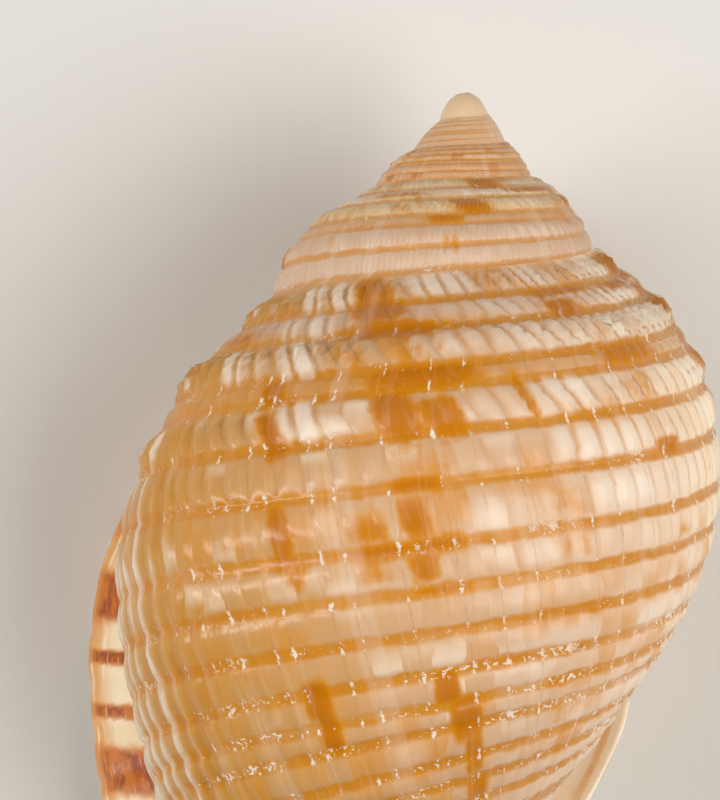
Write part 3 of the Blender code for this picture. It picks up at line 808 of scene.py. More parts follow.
def shield_face(depth, share):
    """(x, z) across the shield at a depth: bowed where it stands free, close to the whorl above."""
    left = np.array([spline(SHIELD_DEPTHS, line, depth) for line in (SHIELD_LEFT_X, SHIELD_LEFT_Z)])
    right = np.array([spline(SHIELD_DEPTHS, line, depth) for line in (SHIELD_RIGHT_X, SHIELD_RIGHT_Z)])
    face = left + (right - left) * share[:, None]
    face[:, 1] -= spline(SHIELD_DEPTHS, SHIELD_BOW, depth) * 4 * share * (1 - share)
    angle = np.arctan2(face[:, 1], face[:, 0])
    hug = body_radius(4.0 + angle / math.tau, depth) + 0.45 * np.sin(share * math.pi) ** 0.5 - 0.05
    hugging = np.stack([np.cos(angle) * hug, np.sin(angle) * hug], axis=1)
    free = ease(depth, *SHIELD_FREE)
    return hugging * (1 - free) + face * free


print("shield:", round(SHIELD_RIGHT_X[4] - SHIELD_LEFT_X[4], 1), "mm wide at most")

# %% The shield, with its grains
GRAIN_COUNT = 150
GRAIN_DEPTHS, GRAIN_SHARES = (46, 71), (0.12, 0.78)


def grains(depth, share):
    """Height in mm of the low grains on the face of the shield."""
    random = np.random.default_rng(41)
    height = np.zeros(np.broadcast(depth, share).shape)
    for _ in range(GRAIN_COUNT):
        at, across = random.uniform(*GRAIN_DEPTHS), random.uniform(*GRAIN_SHARES) ** 1.2
        long, wide = random.uniform(0.5, 1.1), random.uniform(0.3, 0.55)
        tall = random.uniform(0.15, 0.5)
        span = np.interp(at, SHIELD_DEPTHS, np.subtract(SHIELD_RIGHT_X, SHIELD_LEFT_X))
        bump = np.exp(-((depth - at) / wide) ** 2 - ((share - across) * span / long) ** 2)
        height = np.maximum(height, tall * bump)
    return height


def shield_rings():
    """Rings across the shield: its face with rim and grains, then its back, sunk into the whorl."""
    depths = np.linspace(SHIELD_DEPTHS[0], SHIELD_DEPTHS[-1], SHIELD_RINGS)
    share = np.concatenate([np.linspace(0.0, FACE_SHARE, 30), np.linspace(0.92, 1.0, 8)])
    rim = np.clip((share - FACE_SHARE) / (1 - FACE_SHARE), 0.0, 1.0)
    drop = (1 - np.sqrt(np.maximum(1 - rim ** 2, 0.0))) * SHIELD_RIM / 2
    rise = grains(depths[:, None], share[None, :])
    rings = []
    for k, depth in enumerate(depths):
        face = shield_face(depth, share)
        back = face[::-1].copy()
        back[:, 1] += SHIELD_RIM + (1 - share[::-1]) ** 1.5 * SHIELD_ROOT - drop[::-1]
        back[:, 0] += (1 - share[::-1]) * SHIELD_SINK
        back[0, 0] += 0.02
        wave = 0.12 * wander(depth * 0.6 + share * 3, 42) * ease(depth, *SHIELD_FREE)
        face[:, 1] += drop - rise[k] - wave
        ring = np.concatenate([face, back])
        rings.append(in_room(ring[:, 0], np.full(len(ring), depth), ring[:, 1]))
    return rings


rings = np.array(shield_rings())
masks = np.stack([np.zeros(rings.shape[:2]), np.full(rings.shape[:2], FAR_FROM_GROOVE)], axis=-1)
shield = loft("shield", rings, (0.01, 0.915, 0.49, 0.99), masks)
print("shield:", len(shield.polygons), "faces,", GRAIN_COUNT, "grains")

# %% [markdown]
# ## The notch
# At the base the mouth ends in a short canal with a notch, where the snail put out its breathing tube.  It
# could be drawn in the outline of the lip and shield, but then both would need the same curve.  It is
# simpler to cut both at once with one egg-shaped body.

# %% The notch of the siphonal canal
NOTCH_MIDDLE, NOTCH_SIZE = (-5.0, 77.5, 1.5), (4.4, 7.0, 6.5)
NOTCH_RINGS, NOTCH_AROUND = 24, 36


def notch_rings():
    """Rings of the egg-shaped body that is cut away."""
    around = np.arange(NOTCH_AROUND) * math.tau / NOTCH_AROUND
    rings = []
    for polar in np.linspace(0.02, math.pi - 0.02, NOTCH_RINGS):
        x = NOTCH_MIDDLE[0] + NOTCH_SIZE[0] * np.sin(polar) * np.cos(around)
        depth = NOTCH_MIDDLE[1] + NOTCH_SIZE[1] * np.sin(polar) * np.sin(around)
        z = np.full(NOTCH_AROUND, NOTCH_MIDDLE[2] + NOTCH_SIZE[2] * np.cos(polar))
        rings.append(in_room(x, depth, z))
    return rings


notch = loft("notch", notch_rings(), (0.991, 0.92, 0.999, 0.98))
print("notch:", len(notch.polygons), "faces")

# %% [markdown]
# ## One piece
# A shell is one grown piece, so the five bodies become one mesh.  The hollow and the notch are cut, the lip
# and the shield are joined.  Remeshing would blend them more softly, but it would melt the fine grooves, so
# exact Booleans join them, and each face keeps its own finish, coordinates and masks.  Where the shell lies
# on the floor, the lowest places are worn flat.

# %% Join the bodies
def joined(name, base, tools):
    """The base mesh as one object, with each tool mesh cut from it or joined to it."""
    whole = bpy.data.objects.new(name, base)
    bpy.context.scene.collection.objects.link(whole)
    helpers = []
    for mesh, operation in tools:
        helper = bpy.data.objects.new(mesh.name, mesh)
        bpy.context.scene.collection.objects.link(helper)
        helpers.append(helper)
        step = whole.modifiers.new(mesh.name, "BOOLEAN")
        step.object = helper
        step.operation = operation
        step.solver = "MANIFOLD"
        step.material_mode = "TRANSFER"
    graph = bpy.context.evaluated_depsgraph_get()
    mesh = bpy.data.meshes.new_from_object(whole.evaluated_get(graph))
    for helper in helpers:
        bpy.data.objects.remove(helper)
    whole.modifiers.clear()
    whole.data = mesh
    return whole


for title, mesh in (("outer", outer), ("inside", cavity), ("lip", lip), ("shield", shield)):
    mesh.materials.append(bpy.data.materials.new(title))
notch.materials.append(bpy.data.materials["lip"])
shell = joined("scotch_bonnet", outer, (
    (cavity, "DIFFERENCE"), (lip, "UNION"), (shield, "UNION"), (notch, "DIFFERENCE")))
print("joined:", len(shell.data.polygons), "faces, finishes", [m.name for m in shell.data.materials])

# %% Wear flat, smooth, and hand over to the frame
SHARP_EDGE = math.radians(55)
coordinates = np.empty(len(shell.data.vertices) * 3, np.float32)
shell.data.vertices.foreach_get("co", coordinates)
coordinates[2::3] = np.maximum(coordinates[2::3], 0.0)
shell.data.vertices.foreach_set("co", coordinates)
shell.data.shade_smooth()
shell.data.set_sharp_from_angle(angle=SHARP_EDGE)
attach(shell, "root")
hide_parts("shell")
print("one piece of", sum(len(face.vertices) - 2 for face in shell.data.polygons), "triangles")

# %% [markdown]
# ## Helpers for the finishes
# The finishes are node trees.  A few short functions keep them readable: one adds a node and links what it
# is given, others are the sums, blends and noises used again and again.  Colours are written as 0 to 255
# sRGB.

# %% Make a node
def add(tree, kind, inputs=(), **settings):
    """A node with its settings; an input given as a socket is linked, any other value is set."""
    made = tree.nodes.new(kind)
    for name, value in settings.items():
        setattr(made, name, value)
    for key, value in dict(inputs).items():
        if isinstance(value, bpy.types.NodeSocket):
            tree.links.new(value, made.inputs[key])
        else:
            made.inputs[key].default_value = value
    return made


def color(red, green, blue):
    """A colour for a socket, from 0 to 255 sRGB."""
    return tuple((v / 255 / 12.92 if v < 10.3 else ((v / 255 + 0.055) / 1.055) ** 2.4)
                 for v in (red, green, blue)) + (1.0,)


print("colour check:", [round(v, 3) for v in color(205, 135, 60)])

# %% Sums and products
def math_of(tree, operation, *values):
    """The result of one Math node."""
    return add(tree, "ShaderNodeMath", dict(enumerate(values)), operation=operation).outputs[0]


def plus(tree, *values):
    """The sum of two or more values."""
    out = values[0]
    for value in values[1:]:
        out = math_of(tree, "ADD", out, value)
    return out


def times(tree, *values):
    """The product of two or more values."""
    out = values[0]
    for value in values[1:]:
        out = math_of(tree, "MULTIPLY", out, value)
    return out


def minus(tree, first, second):
    """The first value less the second."""
    return math_of(tree, "SUBTRACT", first, second)


def swing(tree, noise_value, width):
    """A noise of 0 to 1 made to swing about zero, by half the width to each side."""
    return times(tree, minus(tree, noise_value, 0.5), width)


print("sums ready:", [helper.__name__ for helper in (math_of, plus, times, minus, swing)])

# %% Steps, slopes and blends
def step_up(tree, value, low, high):
    """0 below low, 1 above high, smooth between; with low above high it falls instead."""
    made = add(tree, "ShaderNodeMapRange", {"Value": value, "From Min": low, "From Max": high},
               interpolation_type="SMOOTHSTEP")
    return made.outputs["Result"]


def slope(tree, value, low, high, first=0.0, last=1.0):
    """first below low, last above high, straight between."""
    made = add(tree, "ShaderNodeMapRange", {
        "Value": value, "From Min": low, "From Max": high, "To Min": first, "To Max": last})
    return made.outputs["Result"]


def blend(tree, share, first, second):
    """The first colour where share is 0, the second where it is 1."""
    return add(tree, "ShaderNodeMix", {0: share, 6: first, 7: second}, data_type="RGBA").outputs[2]


print("steps and blends ready:", [helper.__name__ for helper in (step_up, slope, blend)])

# %% Noises, masks and coil coordinates
def stretched(tree, vector, x, y, z=0.0):
    """The vector, with each axis in its own scale."""
    return add(tree, "ShaderNodeVectorMath", {0: vector, 1: (x, y, z)}, operation="MULTIPLY").outputs[0]


def noise(tree, vector, scale=1.0, detail=2.0, rough=0.5):
    """Cloudy noise of 0 to 1."""
    made = add(tree, "ShaderNodeTexNoise", {"Vector": vector, "Scale": scale, "Detail": detail,
                                            "Roughness": rough})
    return made.outputs["Fac"]


def mask_of(tree, name):
    """A mask stored on the mesh."""
    return add(tree, "ShaderNodeAttribute", attribute_name=name).outputs["Fac"]


def coil_of(tree):
    """The coil coordinates as a vector, and its two parts."""
    vector = add(tree, "ShaderNodeUVMap", uv_map="Coil").outputs["UV"]
    parts = add(tree, "ShaderNodeSeparateXYZ", {0: vector})
    return vector, parts.outputs[0], parts.outputs[1]


print("masks on the mesh:", [name for name in MASKS if name in shell.data.attributes])

# %% Groups and material trees
def new_group(name, inputs, outputs):
    """An empty group with float or vector inputs and outputs, and its two end nodes."""
    group = bpy.data.node_groups.new(name, "ShaderNodeTree")
    for title, kind, value in inputs:
        socket = group.interface.new_socket(title, in_out="INPUT", socket_type=kind)
        if value is not None:
            socket.default_value = value
    for title, kind in outputs:
        group.interface.new_socket(title, in_out="OUTPUT", socket_type=kind)
    return group, group.nodes.new("NodeGroupInput"), group.nodes.new("NodeGroupOutput")


def use_group(tree, group, **values):
    """The outputs of a group placed in a tree with its own values."""
    made = add(tree, "ShaderNodeGroup", node_tree=group)
    for title, value in values.items():
        socket = made.inputs[title.replace("_", " ")]
        if isinstance(value, bpy.types.NodeSocket):
            tree.links.new(value, socket)
        else:
            socket.default_value = value
    return made.outputs


def finish_tree(name):
    """The node tree of a material, and its Principled BSDF."""
    material = bpy.data.materials[name]
    material.use_nodes = True
    return material.node_tree, material.node_tree.nodes["Principled BSDF"]


print("finishes to make:", [m.name for m in shell.data.materials])

# %% Gloss and fine relief
GLOW_RADIUS = (0.0025, 0.0014, 0.0008)     # how far red, green and blue light go in shell lime


def gloss(tree, surface, rough, height, strength, distance):
    """Link the roughness, and a bump of the given height, strength and distance in metres."""
    tree.links.new(rough, surface.inputs["Roughness"])
    bump = add(tree, "ShaderNodeBump", {"Height": height, "Strength": strength, "Distance": distance})
    tree.links.new(bump.outputs["Normal"], surface.inputs["Normal"])


def glow(surface, weight):
    """Let a little light into the lime."""
    surface.inputs["Subsurface Weight"].default_value = weight
    surface.inputs["Subsurface Radius"].default_value = GLOW_RADIUS


print("light goes", max(GLOW_RADIUS) * 1000, "mm into the lime at most")

# %% [markdown]
# ## Effects that several surfaces share
# *Lime mottle* is the soft cloudiness of shell lime, *growth lines* are the faint lines where the growing
# edge stood for a while, and *chalk* is the white dust left in hollows.  Copied nodes would drift apart as
# they are tuned, so each effect is a group, and each surface that needs it gets it in its own strength.  The
# chalk lies on the outside only, once as a thick crust and once as thin dust.

# %% Group: lime mottle
mottle_group, group_in, group_out = new_group(
    "Lime mottle",
    [("Size", "NodeSocketFloat", 1.0)],
    [("Cloud", "NodeSocketFloat"), ("Grain", "NodeSocketFloat")])
room = add(mottle_group, "ShaderNodeTexCoord").outputs["Object"]
sized = add(mottle_group, "ShaderNodeVectorMath", {0: room, 3: group_in.outputs["Size"]}, operation="SCALE")
cloud = noise(mottle_group, sized.outputs[0], 140.0, 3.0, 0.55)
grain = noise(mottle_group, sized.outputs[0], 1500.0, 3.0, 0.6)
mottle_group.links.new(step_up(mottle_group, cloud, 0.32, 0.68), group_out.inputs["Cloud"])
mottle_group.links.new(grain, group_out.inputs["Grain"])
print("group:", mottle_group.name)

# %% Group: growth lines
growth_group, group_in, group_out = new_group(
    "Growth lines",
    [("Coil", "NodeSocketVector", None), ("Per Unit", "NodeSocketFloat", 100.0)],
    [("Lines", "NodeSocketFloat"), ("Strong", "NodeSocketFloat")])
coil_in, per_unit = group_in.outputs["Coil"], group_in.outputs["Per Unit"]
growth_at = add(growth_group, "ShaderNodeVectorMath", {0: coil_in, 3: per_unit}, operation="SCALE")
faint_at = stretched(growth_group, growth_at.outputs[0], 1.0, 0.00045)
strong_at = stretched(growth_group, growth_at.outputs[0], 1.0, 0.0002)
strong = noise(growth_group, strong_at, 0.42, 1.0, 0.4)
growth_group.links.new(noise(growth_group, faint_at, 1.6, 4.0, 0.65), group_out.inputs["Lines"])
growth_group.links.new(step_up(growth_group, strong, 0.6, 0.7), group_out.inputs["Strong"])
print("group:", growth_group.name)

# %% Group: chalk
chalk_group, group_in, group_out = new_group(
    "Chalk",
    [("Where", "NodeSocketFloat", 1.0), ("Amount", "NodeSocketFloat", 0.5)],
    [("Mask", "NodeSocketFloat")])
room = add(chalk_group, "ShaderNodeTexCoord").outputs["Object"]
specks = noise(chalk_group, room, 2300.0, 2.0, 0.7)
islands = noise(chalk_group, room, 210.0, 2.0, 0.5)
level = plus(chalk_group, specks, times(chalk_group, islands, 0.7))
threshold = minus(chalk_group, 1.12, times(chalk_group, group_in.outputs["Amount"], 0.4))
over = minus(chalk_group, level, threshold)
chalk = times(chalk_group, step_up(chalk_group, over, 0.0, 0.05), group_in.outputs["Where"])
chalk_group.links.new(chalk, group_out.inputs["Mask"])
print("group:", chalk_group.name)

# %% [markdown]
# ## The outside: its ground
# From afar the back is cream on the right, pinkish beige in the middle and tan on the left.  Close by, each
# little barrel between two ribs has a tone of its own.  An image could carry this, but the surface can't be
# laid flat without stretching: nodes in coil coordinates follow the grooves exactly.  The ribs are finer
# than the rows of points, so the material finds them itself.  The mesh stores only how far the ribs run
# ahead of an even count, which changes slowly, and the coil coordinates give the rest.

# %% Ground colour round the coil
tree, surface = finish_tree("outer")
coil, turn, cord = coil_of(tree)
room = add(tree, "ShaderNodeTexCoord").outputs["Object"]
mark, groove, pale = [mask_of(tree, name) for name in ("mark", "groove", "pale")]
mottle = use_group(tree, mottle_group, Size=1.0)
growth = use_group(tree, growth_group, Coil=coil, Per_Unit=100.0)
GROUND = ((0.0, (234, 198, 150)), (0.3, (252, 224, 182)), (0.44, (255, 232, 200)), (0.53, (240, 208, 178)),
          (0.64, (220, 180, 144)), (0.74, (212, 164, 114)), (0.84, (206, 146, 58)), (0.9, (204, 156, 96)),
          (0.94, (214, 186, 150)), (1.0, (222, 186, 136)))
ramp = add(tree, "ShaderNodeValToRGB", {0: slope(tree, turn, LIP_TURN - 1.0, LIP_TURN)})
while len(ramp.color_ramp.elements) < len(GROUND):
    ramp.color_ramp.elements.new(0.5)
for stop, (at, shade) in zip(ramp.color_ramp.elements, GROUND):
    stop.position = at
    stop.color = color(*shade)
ground = ramp.outputs["Color"]
print("ground colours:", len(GROUND))

# %% A tone for each little barrel
rib_at = plus(tree, times(tree, turn, RIBS_PER_TURN), mask_of(tree, "rib"))
nearest_rib = math_of(tree, "FLOOR", plus(tree, rib_at, 0.5))
off_crest = math_of(tree, "ABSOLUTE", minus(tree, rib_at, nearest_rib))
barrel_at = add(tree, "ShaderNodeCombineXYZ", {
    0: times(tree, nearest_rib, 17.31), 1: times(tree, cord, 0.31)})
rib_line_at = add(tree, "ShaderNodeCombineXYZ", {0: times(tree, nearest_rib, 9.17), 1: 3.1})
barrel_tone = swing(tree, noise(tree, barrel_at.outputs[0], 1.0, 0.0), 2.2)
rib_tone = swing(tree, noise(tree, rib_line_at.outputs[0], 1.0, 0.0), 1.3)
barrels = times(tree, plus(tree, barrel_tone, rib_tone), slope(tree, turn, 4.3, 4.46, 1.0, 0.6))
# the stored tone beside the lip follows the folds: its pale and tan there are painted highlight on the crests
# and painted shade in the troughs
tone = plus(tree, mask_of(tree, "tone"), barrels, swing(tree, mottle["Cloud"], 0.3))
print("barrels in a turn:", RIBS_PER_TURN)

# %% Tan, pale and pinkish places
TAN, CREAM, LILAC = color(218, 144, 44), color(254, 236, 214), color(228, 196, 178)
PINKISH, SPIRE_BROWN, FIRST_WHORL = color(216, 182, 160), color(222, 160, 104), color(236, 206, 170)
# tan where the tone is low and cream where it is high; beside the lip these are painted shade and painted
# highlight on the folds
ground = blend(tree, times(tree, step_up(tree, tone, -0.05, -0.9), 0.62), ground, TAN)
pale_tone = times(tree, step_up(tree, tone, 0.1, 0.8), step_up(tree, groove, 0.3, 1.0))
ground = blend(tree, times(tree, pale_tone, slope(tree, cord, 9.0, 20.0, 0.85, 0.5)), ground, CREAM)
second_cord = times(tree, step_up(tree, cord, 2.6, 3.2), step_up(tree, cord, 5.6, 4.2), 0.5)
ground = blend(tree, second_cord, ground, LILAC)
smooth_cord = times(tree, step_up(tree, cord, 8.0, 11.0), step_up(tree, turn, 3.62, 3.55), 0.7)
ground = blend(tree, smooth_cord, ground, PINKISH)
ground = blend(tree, times(tree, step_up(tree, turn, 3.3, 2.4), 0.6), ground, SPIRE_BROWN)
ground = blend(tree, times(tree, step_up(tree, turn, 1.9, 0.2), 0.8), ground, FIRST_WHORL)
print("ground:", len(tree.nodes), "nodes so far")

# %% [markdown]
# ## The outside: bands, marks and white ticks
# Every groove carries an ochre band with soft, uneven edges.  The brown marks and pale patches come from
# the masks stored on the mesh, roughened by noise.  Where old growing edges cross the grooves, small white
# ticks stay, and lower down a chalky crust.  Painting over the ground in this order, each layer with its
# own mask, is how the snail lays them too: ground first, chalk last.

# %% Ochre bands in the grooves
BAND_OCHRE, BAND_LIGHT = color(202, 120, 4), color(214, 148, 44)
band_edge = swing(tree, noise(tree, stretched(tree, coil, 60.0, 0.9), 1.0, 3.0, 0.6), 0.7)
band = step_up(tree, plus(tree, groove, band_edge), 0.66, 0.26)
between_pair = times(tree, step_up(tree, cord, 9.0, 9.4), step_up(tree, cord, 11.1, 10.7), 0.6)
band = math_of(tree, "MAXIMUM", band, between_pair)
band_change = noise(tree, stretched(tree, coil, 9.0, 0.35))
band = times(tree, band, step_up(tree, band_change, 0.1, 0.5), step_up(tree, cord, 1.5, 3.0))
band = times(tree, band, step_up(tree, turn, 0.9, 1.4), slope(tree, turn, 3.3, 3.65, 0.66, 0.92))
band_color = blend(tree, noise(tree, stretched(tree, coil, 22.0, 0.5)), BAND_OCHRE, BAND_LIGHT)
base = blend(tree, band, ground, band_color)
print("bands:", len(GROOVES), "on the last whorl")

# %% Brown marks and pale patches
MARK_BROWN, MARK_EDGE, PATCH_WHITE = color(196, 114, 0), color(216, 140, 20), color(250, 234, 216)
rough_edge = noise(tree, stretched(tree, coil, 90.0, 0.8), 1.0, 4.0, 0.6)
column_edge = noise(tree, stretched(tree, coil, 170.0, 0.12), 1.0, 1.0, 0.5)
marked = plus(tree, mark, swing(tree, rough_edge, 0.7), swing(tree, column_edge, 0.5))
marked = times(tree, step_up(tree, marked, 0.2, 0.7), step_up(tree, mark, 0.03, 0.2),
               step_up(tree, turn, 1.6, 2.8))
mark_color = blend(tree, step_up(tree, mark, 0.3, 1.0), MARK_EDGE, MARK_BROWN)
base = blend(tree, times(tree, marked, 0.96), base, mark_color)
between_ribs = times(tree, step_up(tree, off_crest, 0.2, 0.5), step_up(tree, cord, 22.0, 14.0), 0.8)
patch = times(tree, pale, minus(tree, 1.0, between_ribs))
patch = plus(tree, patch, swing(tree, rough_edge, 0.25))
base = blend(tree, times(tree, step_up(tree, patch, 0.15, 1.0), 0.72), base, PATCH_WHITE)
print("marks and patches:", len(MARKS) + len(PALES))

# %% Painted highlight and shade on the folds beside the lip, growth lines, and painted shade in the gaps between the ribs
FOLD_PAINTED_SHADE, FOLD_PAINTED_HIGHLIGHT = color(160, 108, 48), color(232, 220, 202)
LINE_CREAM, LINE_WHITE, GAP_PAINTED_SHADE = color(250, 236, 214), color(250, 240, 226), color(214, 144, 70)
# beside the lip the folds get a painted shade colour in their troughs and a painted highlight colour on their
# crests, following the stored tone
fold_light_zone = times(tree, step_up(tree, turn, 4.405, 4.45), step_up(tree, cord, 10.0, 18.0))
base = blend(tree, times(tree, step_up(tree, tone, -0.1, -0.8), fold_light_zone, 0.35), base, FOLD_PAINTED_SHADE)
base = blend(tree, times(tree, step_up(tree, tone, -0.15, 0.75), fold_light_zone, 0.6), base, FOLD_PAINTED_HIGHLIGHT)
base = blend(tree, times(tree, step_up(tree, growth["Strong"], 0.0, 1.0), 0.12), base, LINE_WHITE)
base = blend(tree, times(tree, step_up(tree, growth["Lines"], 0.5, 0.75), 0.13), base, LINE_CREAM)
on_cord = times(tree, step_up(tree, groove, 0.2, 0.8), step_up(tree, turn, 3.55, 3.65),
                step_up(tree, cord, 34.0, 12.0))
# orange painted shade in the narrow gaps between the ribs, stronger on the right side
rib_gap_shade = times(tree, step_up(tree, off_crest, 0.34, 0.5), on_cord, slope(tree, turn, 4.1, 4.24, 0.5, 0.22))
base = blend(tree, rib_gap_shade, base, GAP_PAINTED_SHADE)
print("folds in a turn:", FOLDS_PER_TURN)

# %% White ticks and hair lines at old growing edges
HAIR_BROWN = color(184, 128, 78)
OLD_EDGES = (4.045, 4.079, 4.1, 4.127, 4.149, 4.1715, 4.19, 4.2265, 4.2475, 4.2675, 4.2955, 4.3235, 4.3355,
             4.3625, 4.3725, 4.395, 4.415, 4.438)
nearest = None
for at in OLD_EDGES:
    away = math_of(tree, "ABSOLUTE", minus(tree, turn, at))
    nearest = away if nearest is None else math_of(tree, "MINIMUM", nearest, away)
shaky = swing(tree, noise(tree, room, 1100.0, 3.0, 0.7), 0.007)
here = step_up(tree, noise(tree, stretched(tree, coil, 37.0, 0.55), 1.0, 0.0), 0.4, 0.46)
tick = step_up(tree, plus(tree, nearest, shaky), 0.0009, 0.0003)
tick = times(tree, tick, here, step_up(tree, groove, 0.62, 0.34), step_up(tree, cord, 4.0, 7.0))
tick = times(tree, tick, step_up(tree, noise(tree, room, 2400.0, 2.0, 0.6), 0.36, 0.5))
hair = step_up(tree, plus(tree, nearest, times(tree, shaky, 0.3)), 0.0007, 0.0002)
hair = times(tree, hair, here, step_up(tree, cord, 14.0, 18.0), 0.26)
base = blend(tree, hair, base, HAIR_BROWN)
print("old growing edges:", len(OLD_EDGES))

# %% Chalk over all of it
CHALK_WHITE = color(250, 242, 226)
crusted = times(tree, step_up(tree, groove, 0.5, 0.2), step_up(tree, cord, 22.0, 34.0))
crust = use_group(tree, chalk_group, Where=crusted, Amount=0.39)["Mask"]
dust = use_group(tree, chalk_group, Where=step_up(tree, groove, 0.8, 0.2), Amount=0.2)["Mask"]
chalky = math_of(tree, "MAXIMUM", math_of(tree, "MAXIMUM", tick, crust), times(tree, dust, 0.6))
base = blend(tree, times(tree, chalky, 0.78), base, CHALK_WHITE)
tree.links.new(base, surface.inputs["Base Color"])
print("colour of the outside:", len(tree.nodes), "nodes")

# %% Gloss and fine relief of the outside
SMALL_RIBS_PER_TURN = 168
fine = plus(tree, times(tree, growth["Lines"], 0.7), times(tree, mottle["Grain"], 0.2),
            times(tree, chalky, 0.35))
small_ribs = math_of(tree, "SINE", times(tree, turn, math.tau * SMALL_RIBS_PER_TURN))
on_spire = times(tree, step_up(tree, turn, 3.9, 3.4), step_up(tree, turn, 1.2, 2.0),
                 step_up(tree, groove, 0.3, 0.9))
fine = plus(tree, fine, times(tree, small_ribs, on_spire, 0.45))
rib_cut = times(tree, step_up(tree, off_crest, 0.3, 0.5), on_cord, step_up(tree, cord, 0.3, 1.2))
fine = minus(tree, fine, times(tree, rib_cut, step_up(tree, turn, 4.0, 4.14), 0.95))
rough = plus(tree, 0.17, times(tree, mottle["Grain"], 0.1), times(tree, chalky, 0.3))
gloss(tree, surface, rough, fine, 0.35, 0.00025)
glow(surface, 0.02)
surface.inputs["Specular IOR Level"].default_value = 0.25
surface.inputs["IOR"].default_value = 1.5
print("outside:", len(tree.nodes), "nodes")

# %% [markdown]
# ## Finish of the lip
# The lip is cream with reddish brown bars where it was laid against the cords' own marks, and an orange
# tinge along its outermost edge.  Bars of plain stripes would look printed, so the soft masks on the mesh
# are torn by one noise and scratched by another, and an orange halo runs round each bar.

# %% Cream of the lip
tree, surface = finish_tree("lip")
coil, _, around = coil_of(tree)
mottle = use_group(tree, mottle_group, Size=1.0)
growth = use_group(tree, growth_group, Coil=stretched(tree, coil, 0.02, 1.0), Per_Unit=100.0)
LIP_CREAM, LIP_BUFF, LIP_EDGE, BAR_HALO = (
    color(255, 236, 202), color(246, 208, 154), color(228, 158, 80), color(222, 138, 50))
cream = blend(tree, times(tree, mottle["Cloud"], 0.35), LIP_CREAM, LIP_BUFF)
stripes = noise(tree, stretched(tree, coil, 9.0, 34.0), 1.0, 3.0, 0.55)
outermost = step_up(tree, math_of(tree, "ABSOLUTE", minus(tree, around, 0.93)), 0.15, 0.04)
cream = blend(tree, times(tree, outermost, step_up(tree, stripes, 0.34, 0.5), 0.9), cream, LIP_EDGE)
past_crest = step_up(tree, around, 0.42, 0.52)
ragged = noise(tree, stretched(tree, coil, 30.0, 22.0), 1.0, 4.0, 0.6)
barred = plus(tree, mask_of(tree, "mark"), swing(tree, ragged, 0.9))
cream = blend(tree, times(tree, step_up(tree, barred, 0.1, 0.55), past_crest, 0.7), cream, BAR_HALO)
print("lip: cream with", len(BARS), "halos")

# %% Bars and gloss of the lip
BAR_RED, BAR_ORANGE = color(150, 52, 2), color(206, 112, 14)
scratch = noise(tree, stretched(tree, coil, 14.0, 90.0), 1.0, 3.0, 0.6)
on_back = times(tree, past_crest, step_up(tree, around, 0.93, 0.86))
bars = times(tree, step_up(tree, barred, 0.4, 0.85), on_back, step_up(tree, scratch, 0.68, 0.58))
bar_color = blend(tree, step_up(tree, ragged, 0.4, 0.6), BAR_RED, BAR_ORANGE)
tree.links.new(blend(tree, times(tree, bars, 0.9), cream, bar_color), surface.inputs["Base Color"])
gloss(tree, surface, plus(tree, 0.26, times(tree, mottle["Grain"], 0.14)), growth["Lines"], 0.3, 0.0002)
glow(surface, 0.02)
surface.inputs["Specular IOR Level"].default_value = 0.36
print("lip:", len(tree.nodes), "nodes")

# %% [markdown]
# ## Finish of the shield
# The shield is glossy cream, with an orange tinge behind its rim and a darker root.  It needs no mask of its
# own: how far a place lies across the loft already says where the rim is.

# %% Finish of the shield
tree, surface = finish_tree("shield")
coil, _, across = coil_of(tree)
mottle = use_group(tree, mottle_group, Size=0.8)
SHIELD_CREAM, SHIELD_BUFF, RIM_ORANGE, ROOT_TAN = (
    color(252, 238, 214), color(243, 216, 180), color(236, 178, 108), color(226, 170, 120))
glaze = blend(tree, times(tree, mottle["Cloud"], 0.4), SHIELD_CREAM, SHIELD_BUFF)
from_rim = math_of(tree, "ABSOLUTE", minus(tree, across, 0.5))
streak = noise(tree, stretched(tree, coil, 5.0, 16.0))
near_rim = times(tree, step_up(tree, from_rim, 0.035, 0.06), step_up(tree, from_rim, 0.17, 0.09))
glaze = blend(tree, times(tree, near_rim, step_up(tree, streak, 0.38, 0.6), 0.75), glaze, RIM_ORANGE)
glaze = blend(tree, times(tree, step_up(tree, from_rim, 0.34, 0.5), 0.35), glaze, ROOT_TAN)
tree.links.new(glaze, surface.inputs["Base Color"])
gloss(tree, surface, plus(tree, 0.2, times(tree, mottle["Grain"], 0.14)), mottle["Cloud"], 0.15, 0.0002)
glow(surface, 0.1)
print("shield:", len(tree.nodes), "nodes")

# %% [markdown]
# ## Finish of the inside
# The inside is a warm pale tan, lighter at the mouth and darker towards the depth.  A light falling off could
# do that by itself; here the colour itself darkens along the hollow, from the mouth into the depth.

# %% Finish of the inside
tree, surface = finish_tree("inside")
coil, outward, _ = coil_of(tree)
mottle = use_group(tree, mottle_group, Size=0.6)
growth = use_group(tree, growth_group, Coil=coil, Per_Unit=60.0)
DEPTH_TAN, MOUTH_TAN, CLOUD_TAN = color(214, 158, 108), color(240, 212, 178), color(226, 176, 132)
lining = blend(tree, step_up(tree, outward, 0.6, 1.0), DEPTH_TAN, MOUTH_TAN)
lining = blend(tree, times(tree, mottle["Cloud"], 0.3), lining, CLOUD_TAN)
tree.links.new(lining, surface.inputs["Base Color"])
gloss(tree, surface, plus(tree, 0.24, times(tree, mottle["Grain"], 0.12)), growth["Lines"], 0.2, 0.0002)
print("inside:", len(tree.nodes), "nodes")

# %% [markdown]
# ## Floor, light and camera
# A plain pale floor and three large soft lamps: the main one on the right, a weaker fill on the upper left,
# and a tall narrow one on the left that draws the long highlight down the swollen whorl.  One hard lamp
# would show the relief as well, but it would burn out the glossy cords.  The camera looks straight down,
# turned a little, and so close that the base lies outside its view.

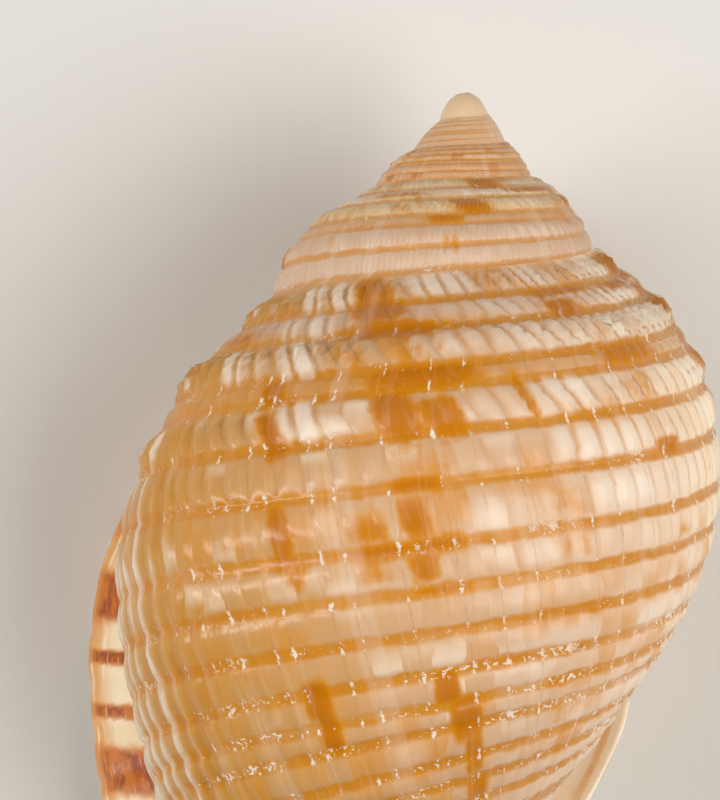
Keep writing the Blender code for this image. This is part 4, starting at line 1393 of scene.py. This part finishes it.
# %% Floor
FLOOR_HALF = 1.5
floor_mesh = bpy.data.meshes.new("floor")
corners = [(x * FLOOR_HALF, y * FLOOR_HALF, 0.0) for x, y in ((-1, -1), (1, -1), (1, 1), (-1, 1))]
floor_mesh.from_pydata(corners, [], [(0, 1, 2, 3)])
floor = bpy.data.objects.new("floor", floor_mesh)
bpy.context.scene.collection.objects.link(floor)
floor_mesh.materials.append(bpy.data.materials.new("floor"))
tree, surface = finish_tree("floor")
surface.inputs["Base Color"].default_value = color(226, 224, 220)
surface.inputs["Roughness"].default_value = 0.75
print("floor:", 2 * FLOOR_HALF, "m square, top at z = 0")

# %% Lamps and surroundings
MIDDLE = (0.0, 0.0, 0.02)
WARM_WHITE, WARMER_WHITE = (1.0, 0.985, 0.95), (1.0, 0.98, 0.95)
ROOM_LIGHT = 0.1


def lamp(name, location, size, power, tint):
    """A soft rectangular lamp that points at the middle of the shell."""
    light = bpy.data.lights.new(name, "AREA")
    light.shape = "RECTANGLE"
    light.size, light.size_y = size
    light.energy = power
    light.color = tint
    lit = bpy.data.objects.new(name, light)
    lit.location = location
    lit.rotation_euler = (Vector(MIDDLE) - Vector(location)).to_track_quat("-Z", "Y").to_euler()
    bpy.context.scene.collection.objects.link(lit)


lamp("main", (0.33, -0.04, 0.42), (0.42, 0.42), 2.45, WARM_WHITE)
lamp("fill", (-0.28, 0.14, 0.42), (0.3, 0.3), 0.75, WARM_WHITE)
lamp("strip", (-0.42, -0.02, 0.22), (0.05, 0.4), 0.95, WARMER_WHITE)
world = bpy.data.worlds.new("room")
world.use_nodes = True
world.node_tree.nodes["Background"].inputs["Color"].default_value = WARMER_WHITE + (1.0,)
world.node_tree.nodes["Background"].inputs["Strength"].default_value = ROOM_LIGHT
bpy.context.scene.world = world
bpy.context.scene.view_settings.view_transform = "Standard"
print("lamps:", [light.name for light in bpy.data.lights], "and a dim room")

# %% Camera
AIM = (-0.00353, 0.01241, AXIS_HEIGHT * MM)     # above the middle of the swollen back
CAMERA_RISE, FIELD_HEIGHT = 0.6, 0.0645         # metres over the axis, and metres seen from top to bottom
SENSOR_HEIGHT = 24.0                            # mm
CAMERA_TURN = math.radians(2.3)
view = bpy.data.cameras.new("camera")
view.sensor_fit = "VERTICAL"
view.sensor_height = SENSOR_HEIGHT
view.lens = SENSOR_HEIGHT * CAMERA_RISE / FIELD_HEIGHT
view.clip_start, view.clip_end = 0.01, 10.0
camera = bpy.data.objects.new("camera", view)
camera.location = (AIM[0], AIM[1], AIM[2] + CAMERA_RISE)
camera.rotation_euler = (0.0, 0.0, CAMERA_TURN)
bpy.context.scene.collection.objects.link(camera)
bpy.context.scene.camera = camera
print("camera", round(view.lens), "mm")
